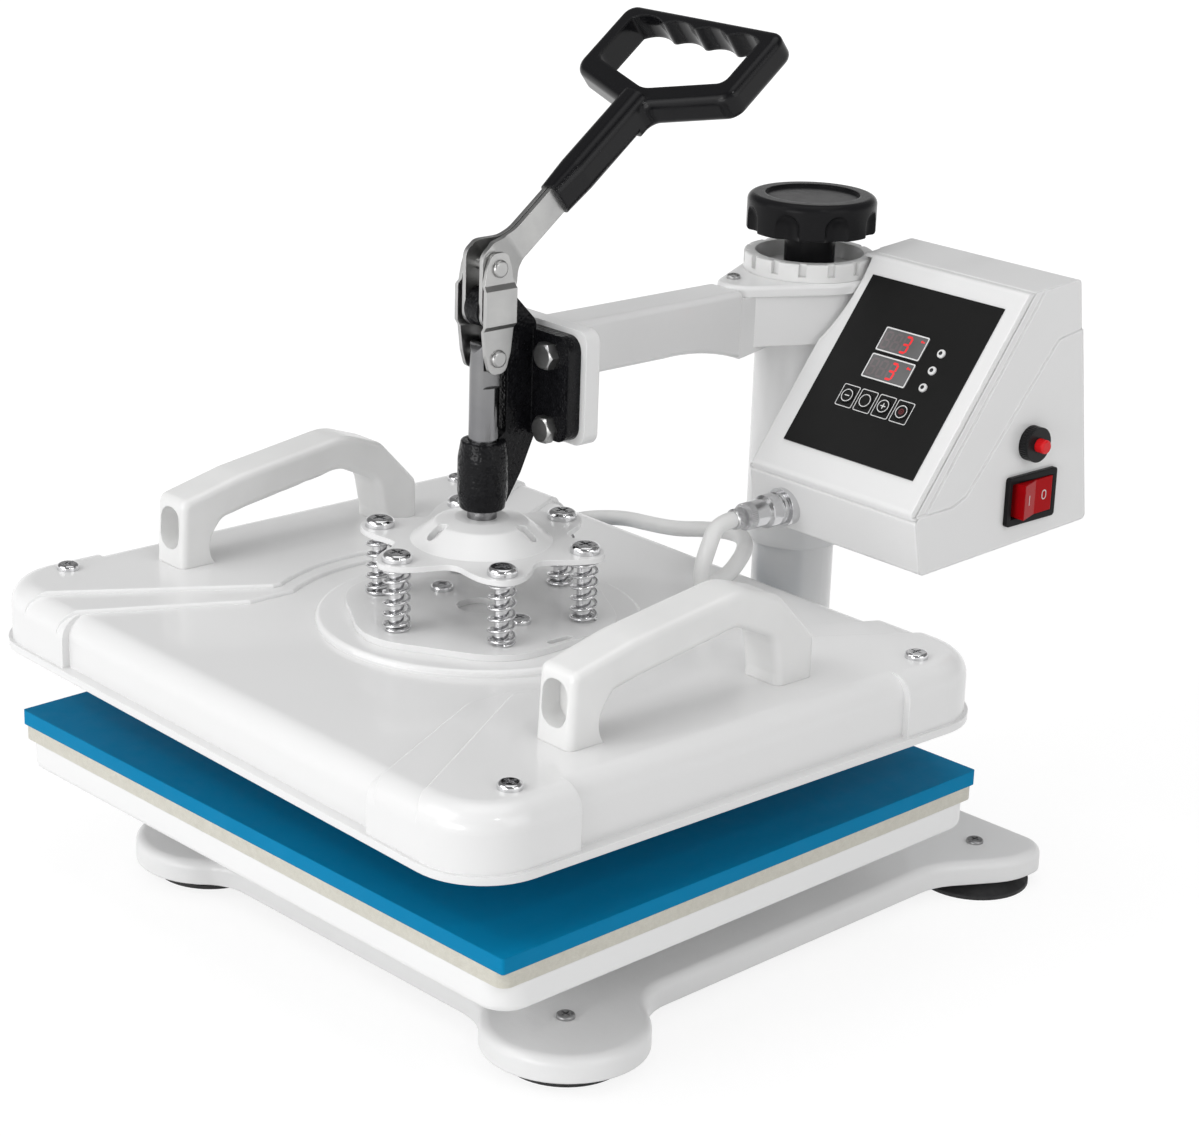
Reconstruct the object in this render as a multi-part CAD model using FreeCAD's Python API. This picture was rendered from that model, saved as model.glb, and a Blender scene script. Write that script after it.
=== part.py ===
import FreeCAD, Part
import math
import os

# Swing-away heat press for flat transfers.
# Millimetres. +X to the operator's right, +Y away from the operator to the column, +Z up.
# The origin is on the table under the centre of the press. The head is drawn lined up with the
# pad, from the column axis, and is then turned to the place where it is parked.

V = FreeCAD.Vector

# Feet and base casting
FOOT_X = 141.0
FOOT_FRONT_Y = -155.0
FOOT_REAR_Y = 157.0
FOOT_R = 31.0
FOOT_NECK_R = 22.0
FOOT_H = 8.0
FOOT_CUP = 1.6
FOOT_SCREW_R = 2.5
FOOT_SCREW_HEAD_R = 4.8
FOOT_SCREW_HEAD_H = 2.0
CAST_T = 13.0
LOBE_R = 42.0
NECK_R = 30.0
BEAM_SIDE_X = 147.0
BEAM_FRONT_Y = -174.0
REAR_Y = 188.0
REAR_CORNER_X = 171.0
REAR_CORNER_R = 16.0
FLARE_Y = 116.0
FLARE_END_Y = 156.0
FLARE_R = 40.0
WINDOW_X = 84.0
WINDOW_FRONT_Y = -140.0
WINDOW_REAR_Y = 100.0
WINDOW_R = 24.0
CAST_RIM_R = 5.0
POCKET_DEPTH = 8.0
POCKET_WALL = 8.0
BOSS_R = 42.0
BOSS_TOP_R = 34.0
BOSS_H = 25.0
BOSS_FLOOR = 4.0

# Column, spindle and knob
COLUMN_Y = 151.0
COLUMN_R = 23.0
COLUMN_WALL = 3.0
COLUMN_TOP = 298.0
NUT_LEN = 24.0
SPINDLE_R = 8.0
SPINDLE_BELOW = 110.0
SPINDLE_IN_KNOB = 13.0
STEM_R = 14.0
KNOB_R = 35.6
KNOB_Z0 = 342.0
KNOB_H = 20.0
KNOB_LOBES = 8
KNOB_SCOOP_R = 9.5
KNOB_SCOOP_OUT = 5.5
KNOB_DISH_R = 26.0
KNOB_DISH_DEPTH = 1.6
COLLAR_R = 15.0
RUN = 0.08
GAP = 0.3

# Lower platen and pads
PAD_X = 380.0
PAD_Y = 330.0
PAD_SETBACK = 3.3
PLATEN_Z0 = 69.0
PLATEN_T = 15.0
PLATEN_CORNER_R = 16.0
PLATEN_RIM_R = 4.0
FELT_T = 7.5
FELT_CORNER_R = 6.0
SILICONE_T = 8.0
SILICONE_CORNER_R = 1.5
CHANNEL_W = 30.0
CHANNEL_H = 17.0
CHANNEL_LEN = 290.0
CHANNEL_OFF_Y = 65.0
SHEET = 3.0
RAIL_X = 128.0
RAIL_W = 24.0
RAIL_T = 5.0
RAIL_LEN = 300.0
POST_X = 98.0
POST_R = 9.0
BOLT_R = 4.0
BOLT_AF = 13.0
BOLT_HEAD_H = 5.5
PLATEN_SCREW_R = 3.0
PLATEN_SCREW_HEAD_R = 5.5
PLATEN_SCREW_HEAD_H = 3.0
PLATEN_SCREW_OFF_Y = 120.0
PLATEN_SCREW_DEEP = 7.0

# Swing head: sleeve, housing and arm
PARK_SWING = -2.2
SLEEVE_R = 27.5
SLEEVE_Z0 = 165.0
HOUSING_R = 36.0
HOUSING_Z0 = 286.0
HOUSING_TOP = 314.0
HOUSING_TIP_R = 15.0
COLLAR_ROOM_R = 17.0
COLLAR_ROOM_H = 6.0
CAP_T = 6.0
CAP_LIP = 2.0
RING_R = 36.0
RING_H = 10.0
RING_FLOOR = 2.0
RING_WALL = 6.0
RING_TEETH = 14
RING_GAP = 4.0
CAP_EDGE_R = 2.4
ARM_W = 26.0
ARM_TOP = 318.0
ARM_BOTTOM = 289.0
ARM_SEAM_Y = -64.0
ARM_SEAM_BOTTOM = 281.0
ARM_EDGE_R = 3.0
REACH = 231.3

# Clamp head
CLAMP_DEPTH = 35.3
MOUNT_T = 9.0
MOUNT_W = 74.0
MOUNT_Z0 = 260.0
MOUNT_Z1 = 320.0
FLANGE_T = 8.0
FLANGE_W = 66.0
FLANGE_Z0 = 262.0
FLANGE_Z1 = 317.0
CLAMP_BOLT_X = 18.0
CLAMP_BOLT_Z = (267.5, 306.0)
GUIDE_R = 13.0
GUIDE_END_R = 11.5
GUIDE_TAPER = 9.0
GUIDE_MOUTH = 1.2
GUIDE_Z0 = 226.0
GUIDE_Z1 = 262.0
ROD_R = 7.7
ROD_RUN = 0.25
ROD_Z0 = 221.0
STUD_R = 5.0
STUD_LEN = 12.0
WEB_HALF = 5.0
PIVOT_Z = 331.0
PIVOT_R = 4.0
PIVOT_HEAD_R = 4.6
NOSE_R = 10.0
TONGUE_HALF = 5.5
TONGUE_ABOVE = 8.0
TONGUE_BELOW = 16.0

# Toggle lever, link and grip
CRANK = 21.5
LINK = 46.0
STEEL = 2.5
LINK_T = 2.2
LINK_BULGE = 2.0
LINK_END_R = 8.0
LINK_MID_HALF = 10.0
LINK_PIN_R = 3.0
RIVET_R = 4.5
RIVET_H = 2.0
LEVER_RISE = 38.0
LEVER_OFF = 12.1
LEVER_HALF = 3.0
LEVER_SLOT = 0.4
CHEEK_TO = 18.0
CHEEK_SLANT = 12.0
LEVER_FRONT = 9.0
LEVER_TO = 66.0
TANG_TO = 112.0
TANG_HALF_T = 5.0
GRIP_FROM = 65.0
GRIP_NECK = 131.0
GRIP_END = 195.5
GRIP_HALF_W = 58.0
GRIP_T = 15.5
GRIP_BAR = 10.5
GRIP_EDGE_R = 4.0
SLEEVE_HALF_W0 = 6.5
SLEEVE_HALF_W1 = 8.2
GRIP_SLEEVE_T = 19.0
FINGERS = 4
FINGER_R = 20.4
FINGER_DEEP = 4.2
FINGER_EDGE_R = 5.0
GRIP_DROP = 3.2
GRIP_CORNER_Y = 146.0
GRIP_CORNER_R = 8.0
SLEEVE_TAPER = 18.0
SLEEVE_MOUTH_T = 18.0

# Star plate, springs and spring plate
SCREW_CIRCLE_R = 55.8
SCREW_ANGLE_0 = 31.2
STAR_TIP_R = 66.0
STAR_VALLEY_R = 45.0
STAR_Z0 = 206.0
STAR_T = 3.0
DOME_R = 38.0
SHOULDER_R = 3.85
SHOULDER_HEAD_R = 7.75
SHOULDER_HEAD_H = 4.4
SPRING_R = 7.35
SPRING_WIRE = 1.8
PLATE_R = 72.3
PLATE_SCALLOP = 5.0
PLATE_T = 3.5
PLATE_HOLE_R = 12.0

# Heated platen and its cover
COVER_HALF_X = 205.0
COVER_HALF_Y = 173.7
COVER_Z0 = 134.0
COVER_TOP = 169.0
COVER_MID = 167.0
COVER_LOW = 165.0
COVER_WALL = 2.5
COVER_CORNER_R = 35.0
COVER_EDGE_R = 12.0
COVER_RECESS = 4.0
COVER_BLOCK_LEN_X = 77.0
COVER_BLOCK_LEN_Y = 65.7
COVER_LIP = 2.0
COVER_LIP_H = 4.0
COVER_RING_R = 85.0
RING_EDGE_R = 2.5
STEP_EDGE_R = 1.9
MID_STEP = ((82.0, 68.0), (134.0, 172.0), 104.0)
SIDE_STEP = ((95.0, 58.0), (160.0, 165.0), 112.0)
HEAT_Z0 = 131.5
HEAT_T = 12.0
HEAT_CORNER_R = 12.0
HEAT_IN_X = 15.0
HEAT_IN_Y = 8.7
ELEMENT_R = 4.0
ELEMENT_PITCH = 90.0
INSULATION_T = 11.0
INSULATION_IN_X = 19.2
INSULATION_IN_Y = 10.0
INSULATION_CORNER_R = 20.0
ELEMENT_END = 65.0
COVER_SCREW_IN_X = 22.2
COVER_SCREW_IN_Y = 40.2
COVER_SCREW_R = 2.5
COVER_SCREW_HEAD_R = 6.0
COVER_SCREW_HEAD_H = 3.2
PLATE_SCREW_X = 31.6
BAR_X = 157.0
BAR_W = 25.0
BAR_FRONT = -87.0
BAR_REAR = 73.0
BAR_FOOT = 25.0
BAR_FRONT_H = 37.0
BAR_APEX_H = 56.0
BAR_APEX_Y = 22.0
BAR_REAR_H = 21.0
BAR_T = 19.0
BAR_EDGE_R = 4.0
BAR_WAVES = 5
BAR_WAVE_R = 16.0
BAR_WAVE_DEEP = 1.5
BAR_SCOOP_W = 17.0
BAR_SCOOP_FROM = 9.0
BAR_SCOOP_TO = 32.0
BAR_SCOOP_DEEP = 12.0

# Control box, drawn as a side profile
BOX_X0 = 30.0
BOX_X1 = 150.0
BOX_FRONT = (-62.0, 195.0)
BOX_LIP = (-69.0, 229.5)
BOX_CREST = (11.0, 333.5)
BOX_BACK_TOP = (51.0, 337.0)
BOX_BACK = (71.0, 201.0)
BOX_WALL = 2.4
BOX_EDGE_R = 3.0
BOX_STEP = 1.0
STEP_1_IN = 9.0
STEP_2_LINE = ((57.0, 309.6), (36.2, 306.4, 6.0), (-29.1, 232.1, 8.0), (-39.5, 228.0, 6.0))
SEAM_IN = 3.5
SEAM_W = 0.8
SEAM_DEEP = 0.7
LUG = 11.0
SMALL_SCREW_LEN = 9.0
BOARD_IN = 13.6
BOARD_FOOT = 5.0
BOARD_HEAD = 18.0
BOARD_DEEP = 10.0
BOARD_T = 1.6
BOARD_POST_R = 3.0
TALL_PART = 12.4
LOW_PART = 8.4
DIGIT_PART = 6.0
GLAND_IN = 35.0
GLAND_DOWN = 0.86
PANEL_X0 = 45.0
PANEL_X1 = 138.0
PANEL_S0 = 17.0
PANEL_S1 = 120.0
PANEL_T = 0.8
WINDOW_T = 0.8
KEY_XS = (71.0, 84.0, 97.0, 110.0)
KEY_S = 50.3
KEY_R = 4.3
KEY_UP = 0.8
KEY_DEEP = 5.0
KEY_TRAVEL = 0.5
LAMP_X = 115.0
LAMP_SS = (86.9, 76.6, 66.3)
LAMP_R = 2.5
ROCKER_Y = 21.0
ROCKER_Z = 223.0
BEZEL_LEN = 39.0
BEZEL_H = 27.0
BEZEL_T = 2.5
ROCKER_LEN = 28.0
ROCKER_H = 19.0
ROCKER_TILT = 10.0
ROCKER_DEEP = 7.0
ROCKER_PIN_R = 1.5
BEZEL_RIM = 3.0
RESET_Y = 19.0
RESET_Z = 253.0
RESET_NUT_R = 9.5
RESET_NUT_T = 6.0
RESET_R = 3.8
RESET_OUT = 5.5
PLUG_X = 55.0
PLUG_Z = 209.0
PLUG_R = 9.0
PLUG_GROOVE = 0.8
PLUG_NUT_Y = -105.0
CORD_R = 4.5
CORD_EXIT_X = -132.0
CORD_EXIT_Z = 148.0
GROMMET_R = 7.5
SMALL_SCREW_R = 2.0
SMALL_SCREW_HEAD_R = 3.8
SMALL_SCREW_HEAD_H = 2.4

# Heights and places that follow from the sizes above
MOUNT_FACE_Y = CLAMP_DEPTH - REACH
COVER_BLOCK_X = COVER_HALF_X - COVER_BLOCK_LEN_X
COVER_BLOCK_Y = COVER_HALF_Y - COVER_BLOCK_LEN_Y
COVER_SCREW_X = COVER_HALF_X - COVER_SCREW_IN_X
COVER_SCREW_Y = COVER_HALF_Y - COVER_SCREW_IN_Y
HEAT_HALF_X = COVER_HALF_X - HEAT_IN_X
HEAT_HALF_Y = COVER_HALF_Y - HEAT_IN_Y
PAD_CENTRE_Y = COLUMN_Y - REACH + PAD_SETBACK
CAST_Z0 = FOOT_H
CAST_TOP = FOOT_H + CAST_T
PLATEN_TOP = PLATEN_Z0 + PLATEN_T
FELT_TOP = PLATEN_TOP + FELT_T
PAD_TOP = FELT_TOP + SILICONE_T
RAIL_Z0 = PLATEN_Z0 - RAIL_T
CHANNEL_Z0 = RAIL_Z0 - CHANNEL_H
PIVOT = V(0, -REACH, PIVOT_Z)
PIN_A_Z = PIVOT_Z + CRANK - LINK
CHEEK_IN = WEB_HALF + GAP
CHEEK_OUT = CHEEK_IN + STEEL
LINK_IN = CHEEK_OUT + GAP
LINK_OUT = LINK_IN + LINK_T
STAR_TOP = STAR_Z0 + STAR_T
PLATE_TOP = COVER_TOP + PLATE_T
CAP_TOP = HOUSING_TOP + CAP_T
RING_TOP = CAP_TOP + RING_H
FLOOR_Z = COLUMN_TOP + GAP
ROOM_Z = HOUSING_TOP - COLLAR_ROOM_H
BOX_IN_X0 = BOX_X0 + 2 * BOX_STEP + BOX_WALL
BOX_IN_X1 = BOX_X1 - 2 * BOX_STEP - BOX_WALL
SCREW_ANGLES = [SCREW_ANGLE_0 + 60.0 * k for k in range(6)]


def block(x0, x1, y0, y1, z0, z1):
    return Part.makeBox(x1 - x0, y1 - y0, z1 - z0, V(x0, y0, z0))


def disc(x, y, z0, z1, r):
    return Part.makeCylinder(r, z1 - z0, V(x, y, z0))


def bar(p, q, r):
    return Part.makeCylinder(r, (q - p).Length, p, q - p)


def join(first, *rest):
    whole = first
    for piece in rest:
        whole = whole.fuse(piece)
    return whole.removeSplitter()


def flat_xy(z):
    return lambda u, v: V(u, v, z)


def flat_yz(x):
    return lambda u, v: V(x, u, v)


def flat_xz(y):
    return lambda u, v: V(u, y, v)


def outline(points, place):
    """Closed wire through the corners (u, v, radius), each corner rounded by its radius."""
    n = len(points)
    corners = []
    for i in range(n):
        u, v = points[i][0], points[i][1]
        r = points[i][2] if len(points[i]) > 2 else 0.0
        pu, pv = points[i - 1][0], points[i - 1][1]
        nu, nv = points[(i + 1) % n][0], points[(i + 1) % n][1]
        a = math.hypot(pu - u, pv - v)
        b = math.hypot(nu - u, nv - v)
        au, av = (pu - u) / a, (pv - v) / a
        bu, bv = (nu - u) / b, (nv - v) / b
        if r <= 0:
            corners.append(((u, v), None, (u, v)))
            continue
        half = 0.5 * math.acos(max(-1.0, min(1.0, au * bu + av * bv)))
        t = r / math.tan(half)
        mu, mv = au + bu, av + bv
        m = math.hypot(mu, mv)
        k = r / math.sin(half) - r
        mid = (u + mu / m * k, v + mv / m * k)
        corners.append(((u + au * t, v + av * t), mid, (u + bu * t, v + bv * t)))
    edges = []
    for i in range(n):
        start, mid, end = corners[i]
        if mid is not None:
            edges.append(Part.Arc(place(*start), place(*mid), place(*end)).toShape())
        nxt = corners[(i + 1) % n][0]
        if math.hypot(nxt[0] - end[0], nxt[1] - end[1]) > 1e-6:
            edges.append(Part.LineSegment(place(*end), place(*nxt)).toShape())
    return Part.Wire(edges)


def prism(points, place, way):
    return Part.Face(outline(points, place)).extrude(way)


def plate(cx, cy, hx, hy, r, z0, z1):
    pts = [(cx - hx, cy - hy, r), (cx + hx, cy - hy, r), (cx + hx, cy + hy, r), (cx - hx, cy + hy, r)]
    return prism(pts, flat_xy(z0), V(0, 0, z1 - z0))


def upright(cx, cz, hx, hz, r, y0, y1):
    pts = [(cx - hx, cz - hz, r), (cx + hx, cz - hz, r), (cx + hx, cz + hz, r), (cx - hx, cz + hz, r)]
    return prism(pts, flat_xz(y0), V(0, y1 - y0, 0))


def turned(profile, x=0.0, y=0.0):
    """Solid of revolution about the vertical through (x, y) from a profile of (radius, z, corner)."""
    wire = outline(profile, lambda u, v: V(x + u, y, v))
    return Part.Face(wire).revolve(V(x, y, 0), V(0, 0, 1), 360)


def hexagon(x, y, z0, z1, across):
    r = across / math.sqrt(3.0)
    pts = [(x + r * math.cos(math.radians(60 * k)), y + r * math.sin(math.radians(60 * k))) for k in range(6)]
    return prism(pts, flat_xy(z0), V(0, 0, z1 - z0))


def pan_screw(r, length, head_r, head_h):
    """Pan head screw, head seat at the origin, shank down."""
    head = turned([(0, 0), (head_r, 0), (head_r, head_h, 0.6 * head_h), (0, head_h)])
    slot = join(block(-0.12 * head_r, 0.12 * head_r, -0.55 * head_r, 0.55 * head_r, 0.5 * head_h, head_h),
                block(-0.55 * head_r, 0.55 * head_r, -0.12 * head_r, 0.12 * head_r, 0.5 * head_h, head_h))
    return join(head.cut(slot), disc(0, 0, -length, 0, r))


def hex_bolt(r, length, across, head_h):
    """Hexagon bolt, head seat at the origin, shank down."""
    head = hexagon(0, 0, 0, head_h, across)
    top = turned([(0, 0), (0.58 * across, 0), (0.58 * across, head_h - 1.2), (0.46 * across, head_h), (0, head_h)])
    return join(head.common(top), disc(0, 0, -length, 0, r))


def put(shape, origin, z_way, x_way=None):
    """Copy of a shape with its own Z turned to z_way and its origin moved to origin."""
    z = V(z_way)
    z.normalize()
    x = V(x_way) if x_way is not None else (V(1, 0, 0) if abs(z.x) < 0.9 else V(0, 1, 0))
    x = x - z * x.dot(z)
    x.normalize()
    y = z.cross(x)
    m = FreeCAD.Matrix(x.x, y.x, z.x, origin.x, x.y, y.y, z.y, origin.y, x.z, y.z, z.z, origin.z, 0, 0, 0, 1)
    s = shape.copy()
    s.Placement = FreeCAD.Placement(m).multiply(s.Placement)
    return s


def wave_outline(r_out, r_in, count, angle_0, z, cx=0.0, cy=0.0, steps=6):
    """Closed smooth curve that swings between two radii, with its tips at angle_0."""
    pts = []
    total = count * steps
    for i in range(total):
        a = math.radians(angle_0 + 360.0 * i / total)
        r = 0.5 * (r_out + r_in) + 0.5 * (r_out - r_in) * math.cos(2 * math.pi * i / steps)
        pts.append(V(cx + r * math.cos(a), cy + r * math.sin(a), z))
    curve = Part.BSplineCurve()
    curve.interpolate(pts, PeriodicFlag=True)
    return Part.Wire([curve.toShape()])


def wave_plate(r_out, r_in, count, angle_0, z0, z1, cx=0.0, cy=0.0):
    return Part.Face(wave_outline(r_out, r_in, count, angle_0, z0, cx, cy)).extrude(V(0, 0, z1 - z0))


def soften(shape, r, test):
    edges = [e for e in shape.Edges if test(e)]
    return shape.makeFillet(r, edges) if edges else shape


def at_z(z):
    return lambda e: e.BoundBox.ZLength < 1e-3 and abs(e.BoundBox.ZMin - z) < 1e-3


def hull(r0, c1, r1, z0, z1):
    """Teardrop plate: a circle at the origin and a smaller one at c1 on the Y axis, with tangents."""
    d = abs(c1)
    way = -1.0 if c1 < 0 else 1.0
    s = (r0 - r1) / d
    c = math.sqrt(1 - s * s)
    a = V(r0 * c, way * r0 * s, z0)
    b = V(r1 * c, c1 + way * r1 * s, z0)
    edges = [Part.LineSegment(a, b).toShape(),
             Part.Arc(b, V(0, c1 + way * r1, z0), V(-b.x, b.y, z0)).toShape(),
             Part.LineSegment(V(-b.x, b.y, z0), V(-a.x, a.y, z0)).toShape(),
             Part.Arc(V(-a.x, a.y, z0), V(0, -way * r0, z0), a).toShape()]
    return Part.Face(Part.Wire(edges)).extrude(V(0, 0, z1 - z0))


def export(name, shapes):
    group = shapes if isinstance(shapes, list) else [shapes]
    solids = []
    for s in group:
        solids.extend(s.Solids)
    shape = solids[0] if len(solids) == 1 else Part.makeCompound(solids)
    shape.exportStep("parts/%s.step" % name)


def parked(shape):
    """Head shape, drawn from the column axis, moved to the column and turned to its parked place."""
    s = shape.copy()
    s.translate(V(0, COLUMN_Y, 0))
    s.rotate(V(0, COLUMN_Y, 0), V(0, 0, 1), PARK_SWING)
    return s


def export_head(name, shapes):
    group = shapes if isinstance(shapes, list) else [shapes]
    export(name, [parked(s) for s in group])


# Base casting, feet and column

def base_edge(z):
    """Outer edge of the casting: round lobes at the front feet, and behind them sides that flare
    to the corners of a straight rear edge."""
    reach = LOBE_R + NECK_R
    fy = BEAM_FRONT_Y - NECK_R
    fx = FOOT_X - math.sqrt(reach ** 2 - (fy - FOOT_FRONT_Y) ** 2)
    sx = BEAM_SIDE_X + NECK_R
    sy = FOOT_FRONT_Y + math.sqrt(reach ** 2 - (sx - FOOT_X) ** 2)
    f1, f2, c = V(fx, fy, z), V(sx, sy, z), V(FOOT_X, FOOT_FRONT_Y, z)
    a, d = V(fx, BEAM_FRONT_Y, z), V(BEAM_SIDE_X, sy, z)
    t1 = c + (f1 - c) * (LOBE_R / reach)
    t2 = c + (f2 - c) * (LOBE_R / reach)
    m1 = (a - f1) + (t1 - f1)
    m1.normalize()
    m2 = (d - f2) + (t2 - f2)
    m2.normalize()
    out = V(1, -1, 0)
    out.normalize()
    front = [(a, f1 + m1 * NECK_R, t1), (t1, c + out * LOBE_R, t2), (t2, f2 + m2 * NECK_R, d)]
    flip = lambda p: V(-p.x, p.y, p.z)
    edges = [Part.Arc(*arc).toShape() for arc in front]
    corners = [(BEAM_SIDE_X, FLARE_Y, FLARE_R), (REAR_CORNER_X, FLARE_END_Y, FLARE_R), (REAR_CORNER_X, REAR_Y, REAR_CORNER_R)]
    rear = outline([(BEAM_SIDE_X, sy)] + corners + [(-x, y, r) for x, y, r in corners[::-1]] + [(-BEAM_SIDE_X, sy)],
                   flat_xy(z))
    edges += [e for e in rear.Edges if e.CenterOfMass.y > sy + 0.1]
    edges += [Part.Arc(flip(q), flip(m), flip(p)).toShape() for p, m, q in front[::-1]]
    edges.append(Part.LineSegment(flip(a), a).toShape())
    return Part.Wire(Part.__sortEdges__(edges))


def post_places():
    return [(sx * POST_X, PAD_CENTRE_Y + sy * CHANNEL_OFF_Y) for sx in (-1, 1) for sy in (-1, 1)]


def foot_places():
    return [(sx * FOOT_X, y) for sx in (-1, 1) for y in (FOOT_FRONT_Y, FOOT_REAR_Y)]


def base_casting():
    body = Part.Face(base_edge(CAST_Z0)).extrude(V(0, 0, CAST_T))
    body = soften(body, CAST_RIM_R, at_z(CAST_TOP))
    body = body.cut(plate(0, 0.5 * (WINDOW_FRONT_Y + WINDOW_REAR_Y), WINDOW_X,
                          0.5 * (WINDOW_REAR_Y - WINDOW_FRONT_Y), WINDOW_R, CAST_Z0 - 1, CAST_TOP + 1))
    z0, z1 = CAST_Z0 - 1, CAST_Z0 + POCKET_DEPTH
    px = 0.5 * (WINDOW_X + BEAM_SIDE_X)
    hw = 0.5 * (BEAM_SIDE_X - WINDOW_X) - POCKET_WALL
    y0 = CHANNEL_OFF_Y + PAD_CENTRE_Y + POST_R + POCKET_WALL
    y1 = FOOT_REAR_Y - FOOT_R - POCKET_WALL
    for sx in (-1, 1):
        body = body.cut(plate(sx * px, 0.5 * (y0 + y1), hw, 0.5 * (y1 - y0), 5, z0, z1))
        w0 = PAD_CENTRE_Y - CHANNEL_OFF_Y + POST_R + POCKET_WALL
        w1 = PAD_CENTRE_Y + CHANNEL_OFF_Y - POST_R - POCKET_WALL
        body = body.cut(plate(sx * px, 0.5 * (w0 + w1), hw, 0.5 * (w1 - w0), 5, z0, z1))
    fy = 0.5 * (WINDOW_FRONT_Y + BEAM_FRONT_Y)
    fh = 0.5 * (WINDOW_FRONT_Y - BEAM_FRONT_Y) - POCKET_WALL
    body = body.cut(plate(0, fy, FOOT_X - LOBE_R - POCKET_WALL, fh, 5, z0, z1))
    boss = turned([(0, CAST_Z0), (BOSS_R, CAST_Z0), (BOSS_R, CAST_TOP + 2, 3), (BOSS_TOP_R, CAST_TOP + BOSS_H, 4),
                   (0, CAST_TOP + BOSS_H)], 0, COLUMN_Y)
    body = join(body, boss)
    body = body.cut(disc(0, COLUMN_Y, CAST_Z0 + BOSS_FLOOR, CAST_TOP + BOSS_H + 1, COLUMN_R))
    for x, y in foot_places():
        body = body.cut(disc(x, y, z0, CAST_TOP + 1, FOOT_SCREW_R))
    for x, y in post_places():
        body = body.cut(disc(x, y, CAST_Z0 + 3, CAST_TOP + 1, BOLT_R))
    return body


def rubber_foot(x, y):
    grip = 3.0
    return turned([(0, FOOT_CUP), (0.7 * FOOT_R, FOOT_CUP), (FOOT_R - 2, 0), (FOOT_R, 0), (FOOT_R, 2.0, 1),
                   (FOOT_NECK_R, FOOT_H), (FOOT_SCREW_R, FOOT_H), (FOOT_SCREW_R, grip), (0, grip)], x, y)


def foot_screw(x, y):
    s = pan_screw(FOOT_SCREW_R, CAST_TOP - 3.0, FOOT_SCREW_HEAD_R, FOOT_SCREW_HEAD_H)
    s.translate(V(x, y, CAST_TOP))
    return s


def support_post(x, y):
    return disc(x, y, CAST_TOP, CHANNEL_Z0, POST_R).cut(disc(x, y, CAST_TOP, CHANNEL_Z0, BOLT_R))


def platen_frame():
    parts = []
    for sy in (-1, 1):
        cy = PAD_CENTRE_Y + sy * CHANNEL_OFF_Y
        outer = block(-CHANNEL_LEN / 2, CHANNEL_LEN / 2, cy - CHANNEL_W / 2, cy + CHANNEL_W / 2, CHANNEL_Z0, RAIL_Z0)
        inner = block(-CHANNEL_LEN / 2, CHANNEL_LEN / 2, cy - CHANNEL_W / 2 + SHEET, cy + CHANNEL_W / 2 - SHEET,
                      CHANNEL_Z0 + SHEET, RAIL_Z0)
        parts.append(outer.cut(inner))
    for sx in (-1, 1):
        parts.append(plate(sx * RAIL_X, PAD_CENTRE_Y, RAIL_W / 2, RAIL_LEN / 2, 6, RAIL_Z0, PLATEN_Z0))
    frame = join(*parts)
    for x, y in post_places():
        frame = frame.cut(disc(x, y, CHANNEL_Z0 - 1, CHANNEL_Z0 + SHEET + 1, BOLT_R))
    for x, y in platen_screw_places():
        frame = frame.cut(disc(x, y, RAIL_Z0 - 1, PLATEN_Z0 + 1, PLATEN_SCREW_R))
    return frame


def platen_screw_places():
    return [(sx * RAIL_X, PAD_CENTRE_Y + sy * PLATEN_SCREW_OFF_Y) for sx in (-1, 1) for sy in (-1, 1)]


def support_bolt(x, y):
    length = CHANNEL_Z0 + SHEET - CAST_Z0 - 3
    s = hex_bolt(BOLT_R, length, BOLT_AF, BOLT_HEAD_H)
    s.translate(V(x, y, CHANNEL_Z0 + SHEET))
    return s


def platen_screw(x, y):
    s = pan_screw(PLATEN_SCREW_R, RAIL_T + PLATEN_SCREW_DEEP, PLATEN_SCREW_HEAD_R, PLATEN_SCREW_HEAD_H)
    return put(s, V(x, y, RAIL_Z0), V(0, 0, -1))


def lower_platen():
    body = plate(0, PAD_CENTRE_Y, PAD_X / 2, PAD_Y / 2, PLATEN_CORNER_R, PLATEN_Z0, PLATEN_TOP)
    body = soften(body, PLATEN_RIM_R, at_z(PLATEN_Z0))
    for x, y in platen_screw_places():
        body = body.cut(disc(x, y, PLATEN_Z0 - 1, PLATEN_Z0 + PLATEN_SCREW_DEEP, PLATEN_SCREW_R))
    return body


def column_tube():
    z0 = CAST_Z0 + BOSS_FLOOR
    return disc(0, COLUMN_Y, z0, COLUMN_TOP, COLUMN_R).cut(disc(0, COLUMN_Y, z0, COLUMN_TOP, COLUMN_R - COLUMN_WALL))


def column_nut():
    body = disc(0, COLUMN_Y, COLUMN_TOP - NUT_LEN, COLUMN_TOP, COLUMN_R - COLUMN_WALL)
    return body.cut(disc(0, COLUMN_Y, COLUMN_TOP - NUT_LEN, COLUMN_TOP, SPINDLE_R + RUN))


# Spindle and knob, on the column axis

def spindle():
    return disc(0, 0, COLUMN_TOP - SPINDLE_BELOW, KNOB_Z0 + SPINDLE_IN_KNOB, SPINDLE_R)


def thrust_collar():
    z0 = ROOM_Z + GAP
    z1 = HOUSING_TOP - GAP
    return disc(0, 0, z0, z1, COLLAR_R).cut(disc(0, 0, z0, z1, SPINDLE_R + RUN))


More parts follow.
